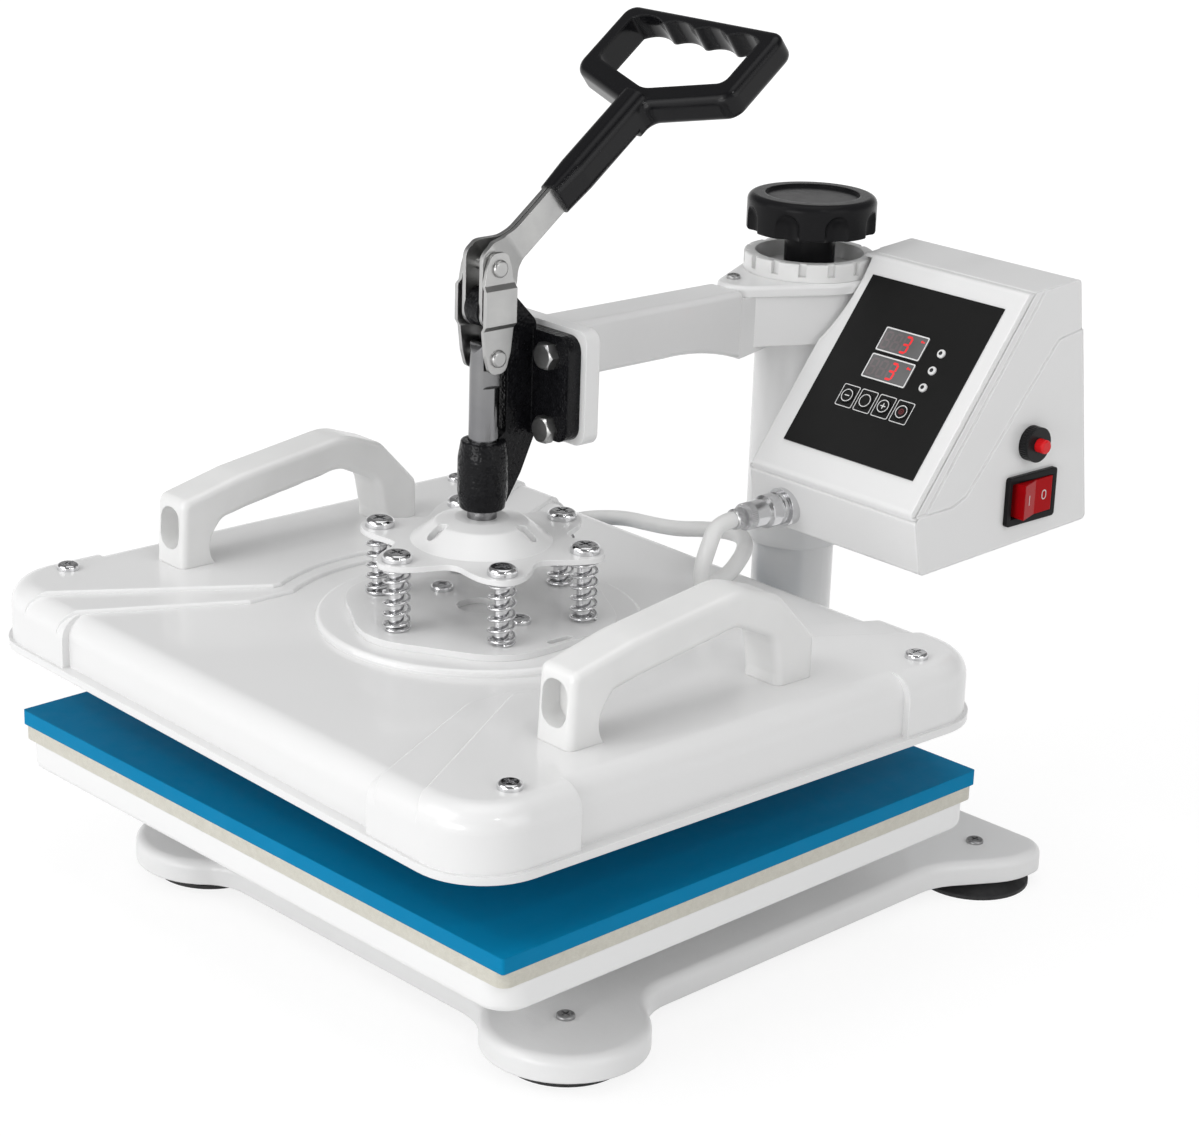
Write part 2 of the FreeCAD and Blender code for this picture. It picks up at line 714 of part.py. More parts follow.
def adjust_knob():
    top = KNOB_Z0 + KNOB_H
    body = turned([(0, CAP_TOP + RING_FLOOR + 1), (STEM_R, CAP_TOP + RING_FLOOR + 1), (STEM_R, KNOB_Z0),
                   (KNOB_R, KNOB_Z0, 1.5), (KNOB_R, top, 4.0), (KNOB_DISH_R, top), (KNOB_DISH_R, top - KNOB_DISH_DEPTH),
                   (0, top - KNOB_DISH_DEPTH)])
    for k in range(KNOB_LOBES):
        a = math.radians(360.0 * (k + 0.5) / KNOB_LOBES)
        x = (KNOB_R + KNOB_SCOOP_OUT) * math.cos(a)
        y = (KNOB_R + KNOB_SCOOP_OUT) * math.sin(a)
        z = top - 4.0 - KNOB_SCOOP_R
        scoop = join(disc(x, y, KNOB_Z0 - 1, z, KNOB_SCOOP_R), Part.makeSphere(KNOB_SCOOP_R, V(x, y, z)))
        body = body.cut(scoop)
    return body.cut(disc(0, 0, CAP_TOP, KNOB_Z0 + SPINDLE_IN_KNOB, SPINDLE_R))


# Swing head

def swivel_sleeve():
    body = disc(0, 0, SLEEVE_Z0, FLOOR_Z, SLEEVE_R).cut(disc(0, 0, SLEEVE_Z0, FLOOR_Z, COLUMN_R + RUN))
    return body


def tip_centre(r):
    return ARM_SEAM_Y + r


def swivel_housing():
    body = hull(HOUSING_R - 1.5, tip_centre(HOUSING_TIP_R), HOUSING_TIP_R - 1.5, HOUSING_Z0, HOUSING_TOP)
    neck = prism([(ARM_SEAM_Y, ARM_SEAM_BOTTOM), (ARM_SEAM_Y, HOUSING_TOP), (-20, HOUSING_TOP), (-20, HOUSING_Z0),
                  (-34, HOUSING_Z0, 6)], flat_yz(-ARM_W / 2), V(ARM_W, 0, 0))
    lug = block(BOX_X0 - SHEET - 15, BOX_X0 - SHEET, LUG_Y0, LUG_Y1, HOUSING_Z0 + 3, HOUSING_TOP - 3)
    body = join(body, neck, lug)
    for p in bracket_screw_places():
        body = body.cut(bar(p - V(BOX_WALL + SHEET + SMALL_SCREW_LEN, 0, 0), p, SMALL_SCREW_R))
    body = body.cut(disc(0, 0, HOUSING_Z0 - 10, FLOOR_Z, SLEEVE_R))
    body = body.cut(disc(0, 0, FLOOR_Z - 1, ROOM_Z + 1, SPINDLE_R + GAP))
    body = body.cut(disc(0, 0, ROOM_Z, HOUSING_TOP + 1, COLLAR_ROOM_R))
    sx, sy = CAP_SCREW
    return body.cut(disc(sx, sy, HOUSING_TOP - 8, HOUSING_TOP + 1, SMALL_SCREW_R))


CAP_SCREW = (-7.0, -51.0)


def housing_cap():
    body = hull(HOUSING_R + CAP_LIP, tip_centre(HOUSING_TIP_R), HOUSING_TIP_R, HOUSING_TOP, CAP_TOP)
    body = soften(body, CAP_EDGE_R, at_z(CAP_TOP))
    body = body.cut(disc(0, 0, HOUSING_TOP - 1, CAP_TOP + 1, SPINDLE_R + GAP))
    return body.cut(disc(CAP_SCREW[0], CAP_SCREW[1], HOUSING_TOP - 1, CAP_TOP + 1, SMALL_SCREW_R))


def index_ring():
    body = turned([(SPINDLE_R + GAP, CAP_TOP), (RING_R, CAP_TOP), (RING_R, RING_TOP, 1), (RING_R - RING_WALL, RING_TOP),
                   (RING_R - RING_WALL - 3, CAP_TOP + RING_FLOOR), (SPINDLE_R + GAP, CAP_TOP + RING_FLOOR)])
    for k in range(RING_TEETH):
        cut = block(RING_R - 2.5, RING_R + 2, -RING_GAP / 2, RING_GAP / 2, CAP_TOP + 3, RING_TOP + 1)
        cut.rotate(V(0, 0, 0), V(0, 0, 1), 360.0 * k / RING_TEETH)
        body = body.cut(cut)
    return body


def arm():
    y0 = MOUNT_FACE_Y + MOUNT_T
    p = flat_yz(-ARM_W / 2)
    edges = [Part.LineSegment(p(y0, ARM_TOP), p(y0, ARM_BOTTOM)).toShape(),
             Part.LineSegment(p(y0, ARM_BOTTOM), p(-118, ARM_BOTTOM)).toShape(),
             Part.Arc(p(-118, ARM_BOTTOM), p(-88, ARM_BOTTOM - 1.8), p(ARM_SEAM_Y, ARM_SEAM_BOTTOM)).toShape(),
             Part.LineSegment(p(ARM_SEAM_Y, ARM_SEAM_BOTTOM), p(ARM_SEAM_Y, ARM_TOP)).toShape(),
             Part.LineSegment(p(ARM_SEAM_Y, ARM_TOP), p(y0, ARM_TOP)).toShape()]
    body = Part.Face(Part.Wire(edges)).extrude(V(ARM_W, 0, 0))
    long_way = lambda e: e.BoundBox.YLength > 30 and e.BoundBox.XLength < 1e-3
    return soften(body, ARM_EDGE_R, long_way)


def clamp_bolt_places():
    return [(sx * CLAMP_BOLT_X, z) for sx in (-1, 1) for z in CLAMP_BOLT_Z]


def mounting_plate():
    zc = 0.5 * (MOUNT_Z0 + MOUNT_Z1)
    body = upright(0, zc, MOUNT_W / 2, 0.5 * (MOUNT_Z1 - MOUNT_Z0), 7, MOUNT_FACE_Y, MOUNT_FACE_Y + MOUNT_T)
    for x, z in clamp_bolt_places():
        body = body.cut(bar(V(x, MOUNT_FACE_Y - 1, z), V(x, MOUNT_FACE_Y + MOUNT_T + 1, z), BOLT_R))
    return body


def clamp_casting():
    y1 = MOUNT_FACE_Y
    y0 = MOUNT_FACE_Y - FLANGE_T
    zc = 0.5 * (FLANGE_Z0 + FLANGE_Z1)
    flange = upright(0, zc, FLANGE_W / 2, 0.5 * (FLANGE_Z1 - FLANGE_Z0), 8, y0, y1)
    c = -REACH
    rear = c + ROD_R + 3.0
    web = prism([(y0 + 2, FLANGE_Z0 - 2, 3), (c + 21, FLANGE_Z0 - 20, 8), (c + 12, GUIDE_Z0 + 2),
                 (c, GUIDE_Z0 + 2), (c, GUIDE_Z1 - 4), (rear, GUIDE_Z1 + 4, 3), (rear, PIVOT_Z - NOSE_R - 6, 6),
                 (c, PIVOT_Z - NOSE_R), (c, PIVOT_Z + NOSE_R), (c + 10, PIVOT_Z + NOSE_R, 10), (y0 + 2, FLANGE_Z1 + 4, 6)],
                flat_yz(-WEB_HALF), V(2 * WEB_HALF, 0, 0))
    nose = bar(V(-WEB_HALF, c, PIVOT_Z), V(WEB_HALF, c, PIVOT_Z), NOSE_R)
    guide = turned([(0, GUIDE_Z0), (GUIDE_END_R, GUIDE_Z0, 1), (GUIDE_R, GUIDE_Z0 + GUIDE_TAPER, 20),
                    (GUIDE_R, GUIDE_Z1 - GUIDE_TAPER, 20), (GUIDE_END_R, GUIDE_Z1, 1), (0, GUIDE_Z1)], 0, c)
    body = join(flange, web, nose, guide)
    bore = ROD_R + ROD_RUN
    body = body.cut(disc(0, c, GUIDE_Z0 - 1, GUIDE_Z1 + 8, bore))
    body = body.cut(Part.makeCone(bore + GUIDE_MOUTH, bore, GUIDE_MOUTH, V(0, c, GUIDE_Z0)))
    body = body.cut(bar(V(-20, c, PIVOT_Z), V(20, c, PIVOT_Z), PIVOT_R))
    for x, z in clamp_bolt_places():
        body = body.cut(bar(V(x, y0 - 1, z), V(x, y1 + 1, z), BOLT_R))
    return body


def clamp_bolt(x, z):
    s = hex_bolt(BOLT_R, FLANGE_T + MOUNT_T + 2, BOLT_AF, BOLT_HEAD_H)
    return put(s, V(x, MOUNT_FACE_Y - FLANGE_T, z), V(0, -1, 0))


def rivet(r, half, head_r, head_h):
    """Pin along X with a domed head on each end, from the middle."""
    body = bar(V(-half, 0, 0), V(half, 0, 0), r)
    head = turned([(0, 0), (head_r, 0), (head_r, head_h, 0.7 * head_h), (0, head_h)])
    return join(body, put(head, V(half, 0, 0), V(1, 0, 0)), put(head, V(-half, 0, 0), V(-1, 0, 0)))


def pivot_pin():
    s = rivet(PIVOT_R, CHEEK_OUT, PIVOT_HEAD_R, LINK_BULGE - GAP)
    s.translate(PIVOT)
    return s


# Lever, drawn in the plane of its swing from the pivot

def lever_point(along, off):
    a = math.radians(LEVER_RISE)
    return (-REACH + along * math.cos(a) - off * math.sin(a), PIVOT_Z + along * math.sin(a) + off * math.cos(a))


def from_pivot(y, z, r=0.0):
    return (-REACH + y, PIVOT_Z + z, r)


def on_lever(along, off, r=0.0):
    y, z = lever_point(along, off)
    return (y, z, r)


LEVER_UP = LEVER_OFF + 8.0
LEVER_LOW = LEVER_OFF - 7.5


def lever_plan(s):
    """Plan of one lever plate, seen down on the lever: a cheek, a slant inwards and the long bar."""
    slant = CHEEK_TO + CHEEK_SLANT
    pts = [(s * CHEEK_OUT, -40), (s * CHEEK_OUT, CHEEK_TO, 6), (s * LEVER_HALF, slant, 6), (s * LEVER_HALF, TANG_TO),
           (s * LEVER_SLOT, TANG_TO), (s * LEVER_SLOT, slant - 1, 4), (s * CHEEK_IN, CHEEK_TO - 1, 4), (s * CHEEK_IN, -40)]
    return prism(pts, flat_xy(-60), V(0, 0, 120))


def in_lever_plane(shape, off=LEVER_OFF):
    """Shape drawn with X across, Y along the lever and Z up from it, put on the lever."""
    a = math.radians(LEVER_RISE)
    y, z = lever_point(0, off)
    return put(shape, V(0, y, z), V(0, -math.sin(a), math.cos(a)), V(1, 0, 0))


def handle_lever():
    side = [from_pivot(-LEVER_FRONT, -NOSE_R, 8), from_pivot(-LEVER_FRONT, CRANK + 7, 7), from_pivot(-2, CRANK + 12.5, 7),
            from_pivot(8, CRANK + 13.5, 8), on_lever(36, LEVER_UP, 20), on_lever(LEVER_TO, LEVER_UP),
            on_lever(LEVER_TO, LEVER_OFF + TANG_HALF_T), on_lever(TANG_TO, LEVER_OFF + TANG_HALF_T),
            on_lever(TANG_TO, LEVER_OFF - TANG_HALF_T), on_lever(LEVER_TO, LEVER_OFF - TANG_HALF_T),
            on_lever(LEVER_TO, LEVER_LOW), on_lever(24, LEVER_LOW, 10), from_pivot(9.5, 3, 5), from_pivot(9, -NOSE_R, 7)]
    profile = prism(side, flat_yz(-CHEEK_OUT - 1), V(2 * CHEEK_OUT + 2, 0, 0))
    weld = in_lever_plane(block(-2 * LEVER_SLOT, 2 * LEVER_SLOT, LEVER_TO + 10, TANG_TO, -TANG_HALF_T, TANG_HALF_T))
    plates = [in_lever_plane(lever_plan(s)).common(profile) for s in (-1, 1)]
    body = join(plates[0], plates[1], weld)
    body = body.cut(bar(V(-20, -REACH, PIVOT_Z), V(20, -REACH, PIVOT_Z), PIVOT_R + RUN))
    return body.cut(bar(V(-20, -REACH, PIVOT_Z + CRANK), V(20, -REACH, PIVOT_Z + CRANK), LINK_PIN_R))


def pin_b():
    s = rivet(LINK_PIN_R, LINK_OUT, RIVET_R, RIVET_H)
    s.translate(V(0, -REACH, PIVOT_Z + CRANK))
    return s


def sleeve_ring(half_w, t, along):
    r = 0.7 * half_w
    pts = [(-half_w, -t / 2, r), (half_w, -t / 2, r), (half_w, t / 2, r), (-half_w, t / 2, r)]
    return outline(pts, lambda u, v: V(u, along, v))


def handle_grip():
    """D grip in its own plane, X across and Y along the lever, then turned up to the lever."""
    h, e, n, low = GRIP_HALF_W, GRIP_END, GRIP_NECK, GRIP_CORNER_Y
    z0 = -GRIP_DROP - GRIP_T / 2
    w = SLEEVE_HALF_W1
    outer = [(-w, n - 8), (-w, n, 6), (-h, low, 10), (-h, e, GRIP_CORNER_R), (h, e, GRIP_CORNER_R), (h, low, 10),
             (w, n, 6), (w, n - 8)]
    body = prism(outer, flat_xy(z0), V(0, 0, GRIP_T))
    body = soften(body, GRIP_EDGE_R, lambda edge: edge.BoundBox.ZLength < 1e-3 and edge.BoundBox.YMax > n - 7)
    wi = h - GRIP_BAR
    top = e - GRIP_BAR
    inner = [(0, n + GRIP_BAR, 16), (wi, low + 0.9 * GRIP_BAR, 6), (wi, top, 5), (-wi, top, 5), (-wi, low + 0.9 * GRIP_BAR, 6)]
    hole = prism(inner, flat_xy(z0 - 1), V(0, 0, GRIP_T + 2))
    pitch = 2.0 * wi / FINGERS
    cy = top + FINGER_DEEP - FINGER_R
    fingers = [disc((k - 0.5 * (FINGERS - 1)) * pitch, cy, z0 - 1, z0 + GRIP_T + 1, FINGER_R) for k in range(FINGERS)]
    strip = block(-wi, wi, top - 6, e, z0 - 1, z0 + GRIP_T + 1)
    waves = join(*fingers).common(strip)
    hole = join(hole, waves)
    ridge = lambda edge: edge.BoundBox.ZLength > GRIP_T and edge.BoundBox.YMin > top - 4 and abs(edge.BoundBox.XMin) < wi - 8
    hole = soften(hole, FINGER_EDGE_R, ridge)
    body = body.cut(hole)
    rings = [sleeve_ring(SLEEVE_HALF_W0, SLEEVE_MOUTH_T, GRIP_FROM), sleeve_ring(w, GRIP_SLEEVE_T, GRIP_FROM + SLEEVE_TAPER),
             sleeve_ring(w, GRIP_SLEEVE_T, n + 5)]
    sleeve = Part.makeLoft(rings, True, True)
    body = join(body, sleeve)
    room = [(-LEVER_HALF, LEVER_HALF, GRIP_FROM - 1, LEVER_TO, LEVER_LOW - LEVER_OFF, LEVER_UP - LEVER_OFF),
            (-LEVER_HALF, LEVER_HALF, LEVER_TO - 1, TANG_TO, -TANG_HALF_T, TANG_HALF_T)]
    for extents in room:
        body = body.cut(block(*extents))
    return in_lever_plane(body)


def link_plate(side):
    """One bowed link plate with its rivet at the plunger end, which stops short of the plunger."""
    zb = PIVOT_Z + CRANK
    za = PIN_A_Z
    bow0, bow1 = zb - 10.5, zb - 28.5
    x0, x1 = LINK_IN, LINK_OUT
    b = LINK_BULGE
    strip = [(x0, zb + LINK_END_R + 1), (x1, zb + LINK_END_R + 1), (x1, bow0 + 2.5), (x1 + b, bow0), (x1 + b, bow1),
             (x1, bow1 - 2.5), (x1, za - LINK_END_R - 1), (x0, za - LINK_END_R - 1), (x0, bow1 - 2.5 - 0.4),
             (x0 + b, bow1 - 0.4), (x0 + b, bow0 + 0.4), (x0, bow0 + 2.9)]
    body = prism(strip, flat_xz(-REACH - 20), V(0, 40, 0))
    r = LINK_END_R
    m = LINK_MID_HALF
    side_view = [(-REACH - r, zb, 5), (-REACH - r + 3, zb + r, 5), (-REACH + r - 3, zb + r, 5), (-REACH + r, zb, 5),
                 (-REACH + m, bow0, 4), (-REACH + m, bow1, 4), (-REACH + r, za + 2, 5), (-REACH + r - 3, za - r, 5),
                 (-REACH - r + 3, za - r, 5), (-REACH - r, za + 2, 5), (-REACH - m, bow1, 4), (-REACH - m, bow0, 4)]
    body = body.common(prism(side_view, flat_yz(0), V(x1 + b + 1, 0, 0)))
    body = body.cut(bar(V(0, -REACH, zb), V(30, -REACH, zb), LINK_PIN_R + RUN))
    stub = bar(V(TONGUE_HALF + GAP, -REACH, za), V(x1, -REACH, za), LINK_PIN_R)
    head = turned([(0, 0), (RIVET_R, 0), (RIVET_R, RIVET_H, 0.7 * RIVET_H), (0, RIVET_H)])
    body = join(body, stub, put(head, V(x1, -REACH, za), V(1, 0, 0)))
    if side < 0:
        body = body.mirror(V(0, 0, 0), V(1, 0, 0))
    return body


def plunger_rod():
    c = -REACH
    top = PIN_A_Z + TONGUE_ABOVE
    body = join(disc(0, c, ROD_Z0, PIN_A_Z, ROD_R),
                prism([(c - ROD_R, PIN_A_Z - 1), (c + ROD_R, PIN_A_Z - 1), (c + ROD_R, top, 7), (c - ROD_R, top, 7)],
                      flat_yz(-ROD_R), V(2 * ROD_R, 0, 0)).common(disc(0, c, PIN_A_Z - 1, top, ROD_R)),
                disc(0, c, ROD_Z0 - STUD_LEN, ROD_Z0, STUD_R))
    for s in (-1, 1):
        x0, x1 = sorted((s * TONGUE_HALF, s * (ROD_R + 1)))
        body = body.cut(block(x0, x1, c - 10, c + 10, PIN_A_Z - TONGUE_BELOW, top + 1))
    return body


# Star plate, springs, spring plate

def ring_place(k, r=SCREW_CIRCLE_R):
    a = math.radians(SCREW_ANGLES[k])
    return r * math.cos(a), -REACH + r * math.sin(a)


def star_plate():
    c = -REACH
    body = wave_plate(STAR_TIP_R, STAR_VALLEY_R, 6, SCREW_ANGLE_0, STAR_Z0, STAR_TOP, 0, c)
    body = body.cut(disc(0, c, STAR_Z0 - 1, STAR_TOP + 1, DOME_R - 1))
    top = ROD_Z0
    dome = turned([(DOME_R, STAR_TOP), (DOME_R - 1.5, STAR_TOP), (DOME_R - 14, top - 2, 4), (DOME_R - 24, top, 3),
                   (STUD_R, top), (STUD_R, top - STAR_T), (DOME_R - 25, top - STAR_T, 3), (DOME_R - 16, top - 5, 4),
                   (DOME_R - 4, STAR_Z0), (DOME_R, STAR_Z0)], 0, c)
    body = join(body, dome)
    for k in range(6):
        x, y = ring_place(k)
        body = body.cut(disc(x, y, STAR_Z0 - 1, STAR_TOP + 1, SHOULDER_R + GAP))
    for k in range(3):
        hole = plate(0, 0, 5.5, 3.5, 3.4, STAR_Z0 - 5, top + 5)
        hole.translate(V(DOME_R - 12, 0, 0))
        hole.rotate(V(0, 0, 0), V(0, 0, 1), 21.0 + 120.0 * k)
        hole.translate(V(0, c, 0))
        body = body.cut(hole)
    return body


def spring_plate():
    c = -REACH
    body = wave_plate(PLATE_R, PLATE_R - PLATE_SCALLOP, 6, SCREW_ANGLE_0, COVER_TOP, PLATE_TOP, 0, c)
    body = body.cut(disc(0, c, COVER_TOP - 1, PLATE_TOP + 1, PLATE_HOLE_R))
    for k in range(6):
        x, y = ring_place(k)
        body = body.cut(disc(x, y, COVER_TOP - 1, PLATE_TOP + 1, SHOULDER_R))
    for s in (-1, 1):
        body = body.cut(disc(s * PLATE_SCREW_X, c, COVER_TOP - 1, PLATE_TOP + 1, COVER_SCREW_R))
        slot = plate(0, c, 2.2, 8, 2.1, COVER_TOP - 1, PLATE_TOP + 1)
        slot.translate(V(s * (PLATE_R - 9.5), 0, 0))
        body = body.cut(slot)
    return body


def shoulder_screw(k):
    x, y = ring_place(k)
    seat = STAR_TOP + 0.1
    s = pan_screw(SHOULDER_R, seat - COVER_TOP + COVER_WALL, SHOULDER_HEAD_R, SHOULDER_HEAD_H)
    s.translate(V(x, y, seat))
    return s


def spring(k):
    x, y = ring_place(k)
    z0, z1 = PLATE_TOP, STAR_Z0 - 0.1
    return disc(x, y, z0, z1, SPRING_R).cut(disc(x, y, z0, z1, SPRING_R - SPRING_WIRE))


# Cover, heating plate and handles

def cover_form(off, top):
    """Outer form of the cover, or with off its inner form, closed at the bottom."""
    c = -REACH
    z0 = COVER_Z0 - (1.0 if off else 0.0)
    z1 = top - off
    hx, hy = COVER_HALF_X - COVER_LIP - off, COVER_HALF_Y - COVER_LIP - off
    full = plate(0, c, hx, hy, COVER_CORNER_R - off, z0, z1)
    rim = COVER_EDGE_R - off
    full = soften(full, rim, at_z(z1))
    keep = None
    for sx in (-1, 1):
        for sy in (-1, 1):
            x0, x1 = sorted((sx * (COVER_BLOCK_X + off), sx * (hx + 5)))
            y0, y1 = sorted((c + sy * (COVER_BLOCK_Y + off), c + sy * (hy + 5)))
            piece = block(x0, x1, y0, y1, z0 - 1, z1 + 1)
            keep = piece if keep is None else keep.fuse(piece)
    corners = full.common(keep)
    core = plate(0, c, hx - COVER_RECESS, hy - COVER_RECESS, COVER_CORNER_R - off - COVER_RECESS, z0, z1)
    core = soften(core, rim, at_z(z1))
    return join(core, corners)


def step_region(step, z0, z1):
    """Raised field on both sides: from an arc round the middle out to lines that run to the corners."""
    (x0, y0), (x1, y1), r = step
    c = -REACH
    slope = (x1 - x0) / (y1 - y0)
    apex = x0 - slope * y0
    far = COVER_HALF_Y + 20
    wide = COVER_HALF_X + 20
    way = V(0, 0, z1 - z0)
    tip = r - 15
    tip_y = (tip - apex) / slope
    right = prism([(tip, c - tip_y), (apex + slope * far, c - far), (wide, c - far), (wide, c + far),
                   (apex + slope * far, c + far), (tip, c + tip_y)], flat_xy(z0), way)
    right = right.cut(disc(0, c, z0 - 1, z1 + 1, r))
    right = soften(right, STEP_EDGE_R, at_z(z1))
    return right.fuse(right.mirror(V(0, 0, 0), V(1, 0, 0)))


def heat_cover():
    c = -REACH
    body = cover_form(0.0, COVER_LOW)
    for step, top in ((MID_STEP, COVER_MID), (SIDE_STEP, COVER_TOP)):
        body = body.fuse(step_region(step, COVER_Z0 + COVER_EDGE_R, top).common(cover_form(0.0, top)))
    ring = turned([(0, COVER_LOW - 1), (COVER_RING_R, COVER_LOW - 1), (COVER_RING_R, COVER_TOP, RING_EDGE_R),
                   (0, COVER_TOP)], 0, c)
    lip = plate(0, c, COVER_HALF_X, COVER_HALF_Y, COVER_CORNER_R + COVER_LIP, COVER_Z0, COVER_Z0 + COVER_LIP_H)
    body = join(body, ring, lip)
    body = body.cut(cover_form(COVER_WALL, COVER_LOW))
    for x, y in cover_screw_places():
        body = body.cut(disc(x, y, COVER_LOW - 4, COVER_TOP + 1, COVER_SCREW_R))
    for k in range(6):
        x, y = ring_place(k)
        body = body.cut(disc(x, y, COVER_LOW - 4, COVER_TOP + 1, SHOULDER_R))
    y1 = c + COVER_HALF_Y
    notch = block(CORD_EXIT_X - GROMMET_R, CORD_EXIT_X + GROMMET_R, y1 - 12, y1 + 1, COVER_Z0 - 1, CORD_EXIT_Z)
    notch = join(notch, bar(V(CORD_EXIT_X, y1 - 12, CORD_EXIT_Z), V(CORD_EXIT_X, y1 + 1, CORD_EXIT_Z), GROMMET_R))
    return body.cut(notch)


def cord_grommet():
    y1 = -REACH + COVER_HALF_Y
    t0, t1 = y1 - COVER_LIP - COVER_WALL - 1.5, y1 + 1.0
    z0 = COVER_Z0 + 0.5
    ring = join(bar(V(CORD_EXIT_X, t0, CORD_EXIT_Z), V(CORD_EXIT_X, t1, CORD_EXIT_Z), GROMMET_R),
                block(CORD_EXIT_X - GROMMET_R, CORD_EXIT_X + GROMMET_R, t0, t1, z0, CORD_EXIT_Z))
    return ring.cut(bar(V(CORD_EXIT_X, t0 - 1, CORD_EXIT_Z), V(CORD_EXIT_X, t1 + 1, CORD_EXIT_Z), CORD_R))


def cover_screw_places():
    c = -REACH
    places = [(sx * COVER_SCREW_X, c + sy * COVER_SCREW_Y) for sx in (-1, 1) for sy in (-1, 1)]
    return places


def cover_screws():
    out = []
    for x, y in cover_screw_places():
        s = pan_screw(COVER_SCREW_R, COVER_TOP - HEAT_Z0 - HEAT_T + 6, COVER_SCREW_HEAD_R, COVER_SCREW_HEAD_H)
        s.translate(V(x, y, COVER_TOP))
        out.append(s)
    for sx in (-1, 1):
        s = pan_screw(COVER_SCREW_R, PLATE_T, COVER_SCREW_HEAD_R, COVER_SCREW_HEAD_H)
        s.translate(V(sx * PLATE_SCREW_X, -REACH, PLATE_TOP))
        out.append(s)
    return out


def cover_handle(sx):
    c = -REACH
    z = COVER_TOP
    f, r, ap = BAR_FRONT, BAR_REAR, BAR_APEX_Y
    top = [(f, z), (r, z), (r, z + BAR_REAR_H, 8), (ap + 26, z + BAR_APEX_H - 9, 14), (ap, z + BAR_APEX_H, 30),
           (f + 40, z + BAR_FRONT_H + 9, 30), (f + 2, z + BAR_FRONT_H, 5)]
    body = prism([(c + p[0],) + tuple(p[1:]) for p in top], flat_yz(sx * BAR_X - BAR_W / 2), V(BAR_W, 0, 0))
    t = BAR_T
    low = [(f + BAR_FOOT, z - 1), (r - BAR_FOOT, z - 1), (r - BAR_FOOT, z + 6, 3), (ap + 22, z + BAR_APEX_H - 11 - t, 8),
           (ap - 2, z + BAR_APEX_H - t, 12), (f + 44, z + BAR_FRONT_H + 9 - t, 20), (f + BAR_FOOT, z + BAR_FRONT_H - 14, 6)]
    hole = prism([(c + p[0],) + tuple(p[1:]) for p in low], flat_yz(sx * BAR_X - BAR_W), V(2 * BAR_W, 0, 0))
    body = body.cut(hole)
    outer = lambda e: (abs(e.BoundBox.XLength) < 1e-3 and e.BoundBox.ZMax > z + 1)
    body = soften(body, BAR_EDGE_R, outer)
    y0, z0 = f + 34, z + BAR_FRONT_H + 6 - t
    y1, z1 = ap - 8, z + BAR_APEX_H - 1 - t
    for k in range(BAR_WAVES):
        s = k / (BAR_WAVES - 1.0)
        y, low = c + y0 + s * (y1 - y0), z0 + s * (z1 - z0) - BAR_WAVE_R + BAR_WAVE_DEEP
        body = body.cut(bar(V(sx * BAR_X - BAR_W, y, low), V(sx * BAR_X + BAR_W, y, low), BAR_WAVE_R))
    scoop = upright(sx * BAR_X, z + 0.5 * (BAR_SCOOP_FROM + BAR_SCOOP_TO), BAR_SCOOP_W / 2,
                    0.5 * (BAR_SCOOP_TO - BAR_SCOOP_FROM), 0.45 * BAR_SCOOP_W, c + f - 1, c + f + BAR_SCOOP_DEEP)
    return body.cut(scoop)


def heating_plate():
    c = -REACH
    z1 = HEAT_Z0 + HEAT_T
    body = plate(0, c, HEAT_HALF_X, HEAT_HALF_Y, HEAT_CORNER_R, HEAT_Z0, z1)
    for x, y in cover_screw_places():
        body = body.cut(disc(x, y, z1 - 6, z1 + 1, COVER_SCREW_R))
    return body


def heating_element():
    """Heating tube bent back and forth over the plate."""
    c = -REACH
    z = HEAT_Z0 + HEAT_T + ELEMENT_R
    r = ELEMENT_PITCH / 2
    half = HEAT_HALF_Y - ELEMENT_END
    edges = []
    xs = [(k - 1.5) * ELEMENT_PITCH for k in range(4)]
    for k, x in enumerate(xs):
        a = V(x, c - half, z)
        b = V(x, c + half, z)
        edges.append(Part.LineSegment(a, b) if k % 2 == 0 else Part.LineSegment(b, a))
        if k < 3:
            s = 1.0 if k % 2 == 0 else -1.0
            y = c + s * half
            edges.append(Part.Arc(V(x, y, z), V(x + r, y + s * r, z), V(x + 2 * r, y, z)))
    path = Part.Wire([e.toShape() for e in edges])
    ring = Part.Wire([Part.Circle(V(xs[0], c - half, z), V(0, 1, 0), ELEMENT_R).toShape()])
    return path.makePipeShell([ring], True, False)


def insulation():
    c = -REACH
    z0 = HEAT_Z0 + HEAT_T + 2 * ELEMENT_R
    body = plate(0, c, HEAT_HALF_X - INSULATION_IN_X, HEAT_HALF_Y - INSULATION_IN_Y, INSULATION_CORNER_R,
                 z0, z0 + INSULATION_T)
    for k in range(6):
        x, y = ring_place(k)
        body = body.cut(disc(x, y, z0, z0 + INSULATION_T + 1, SHOULDER_R + GAP))
    return body


# Control box, drawn as a profile across the press

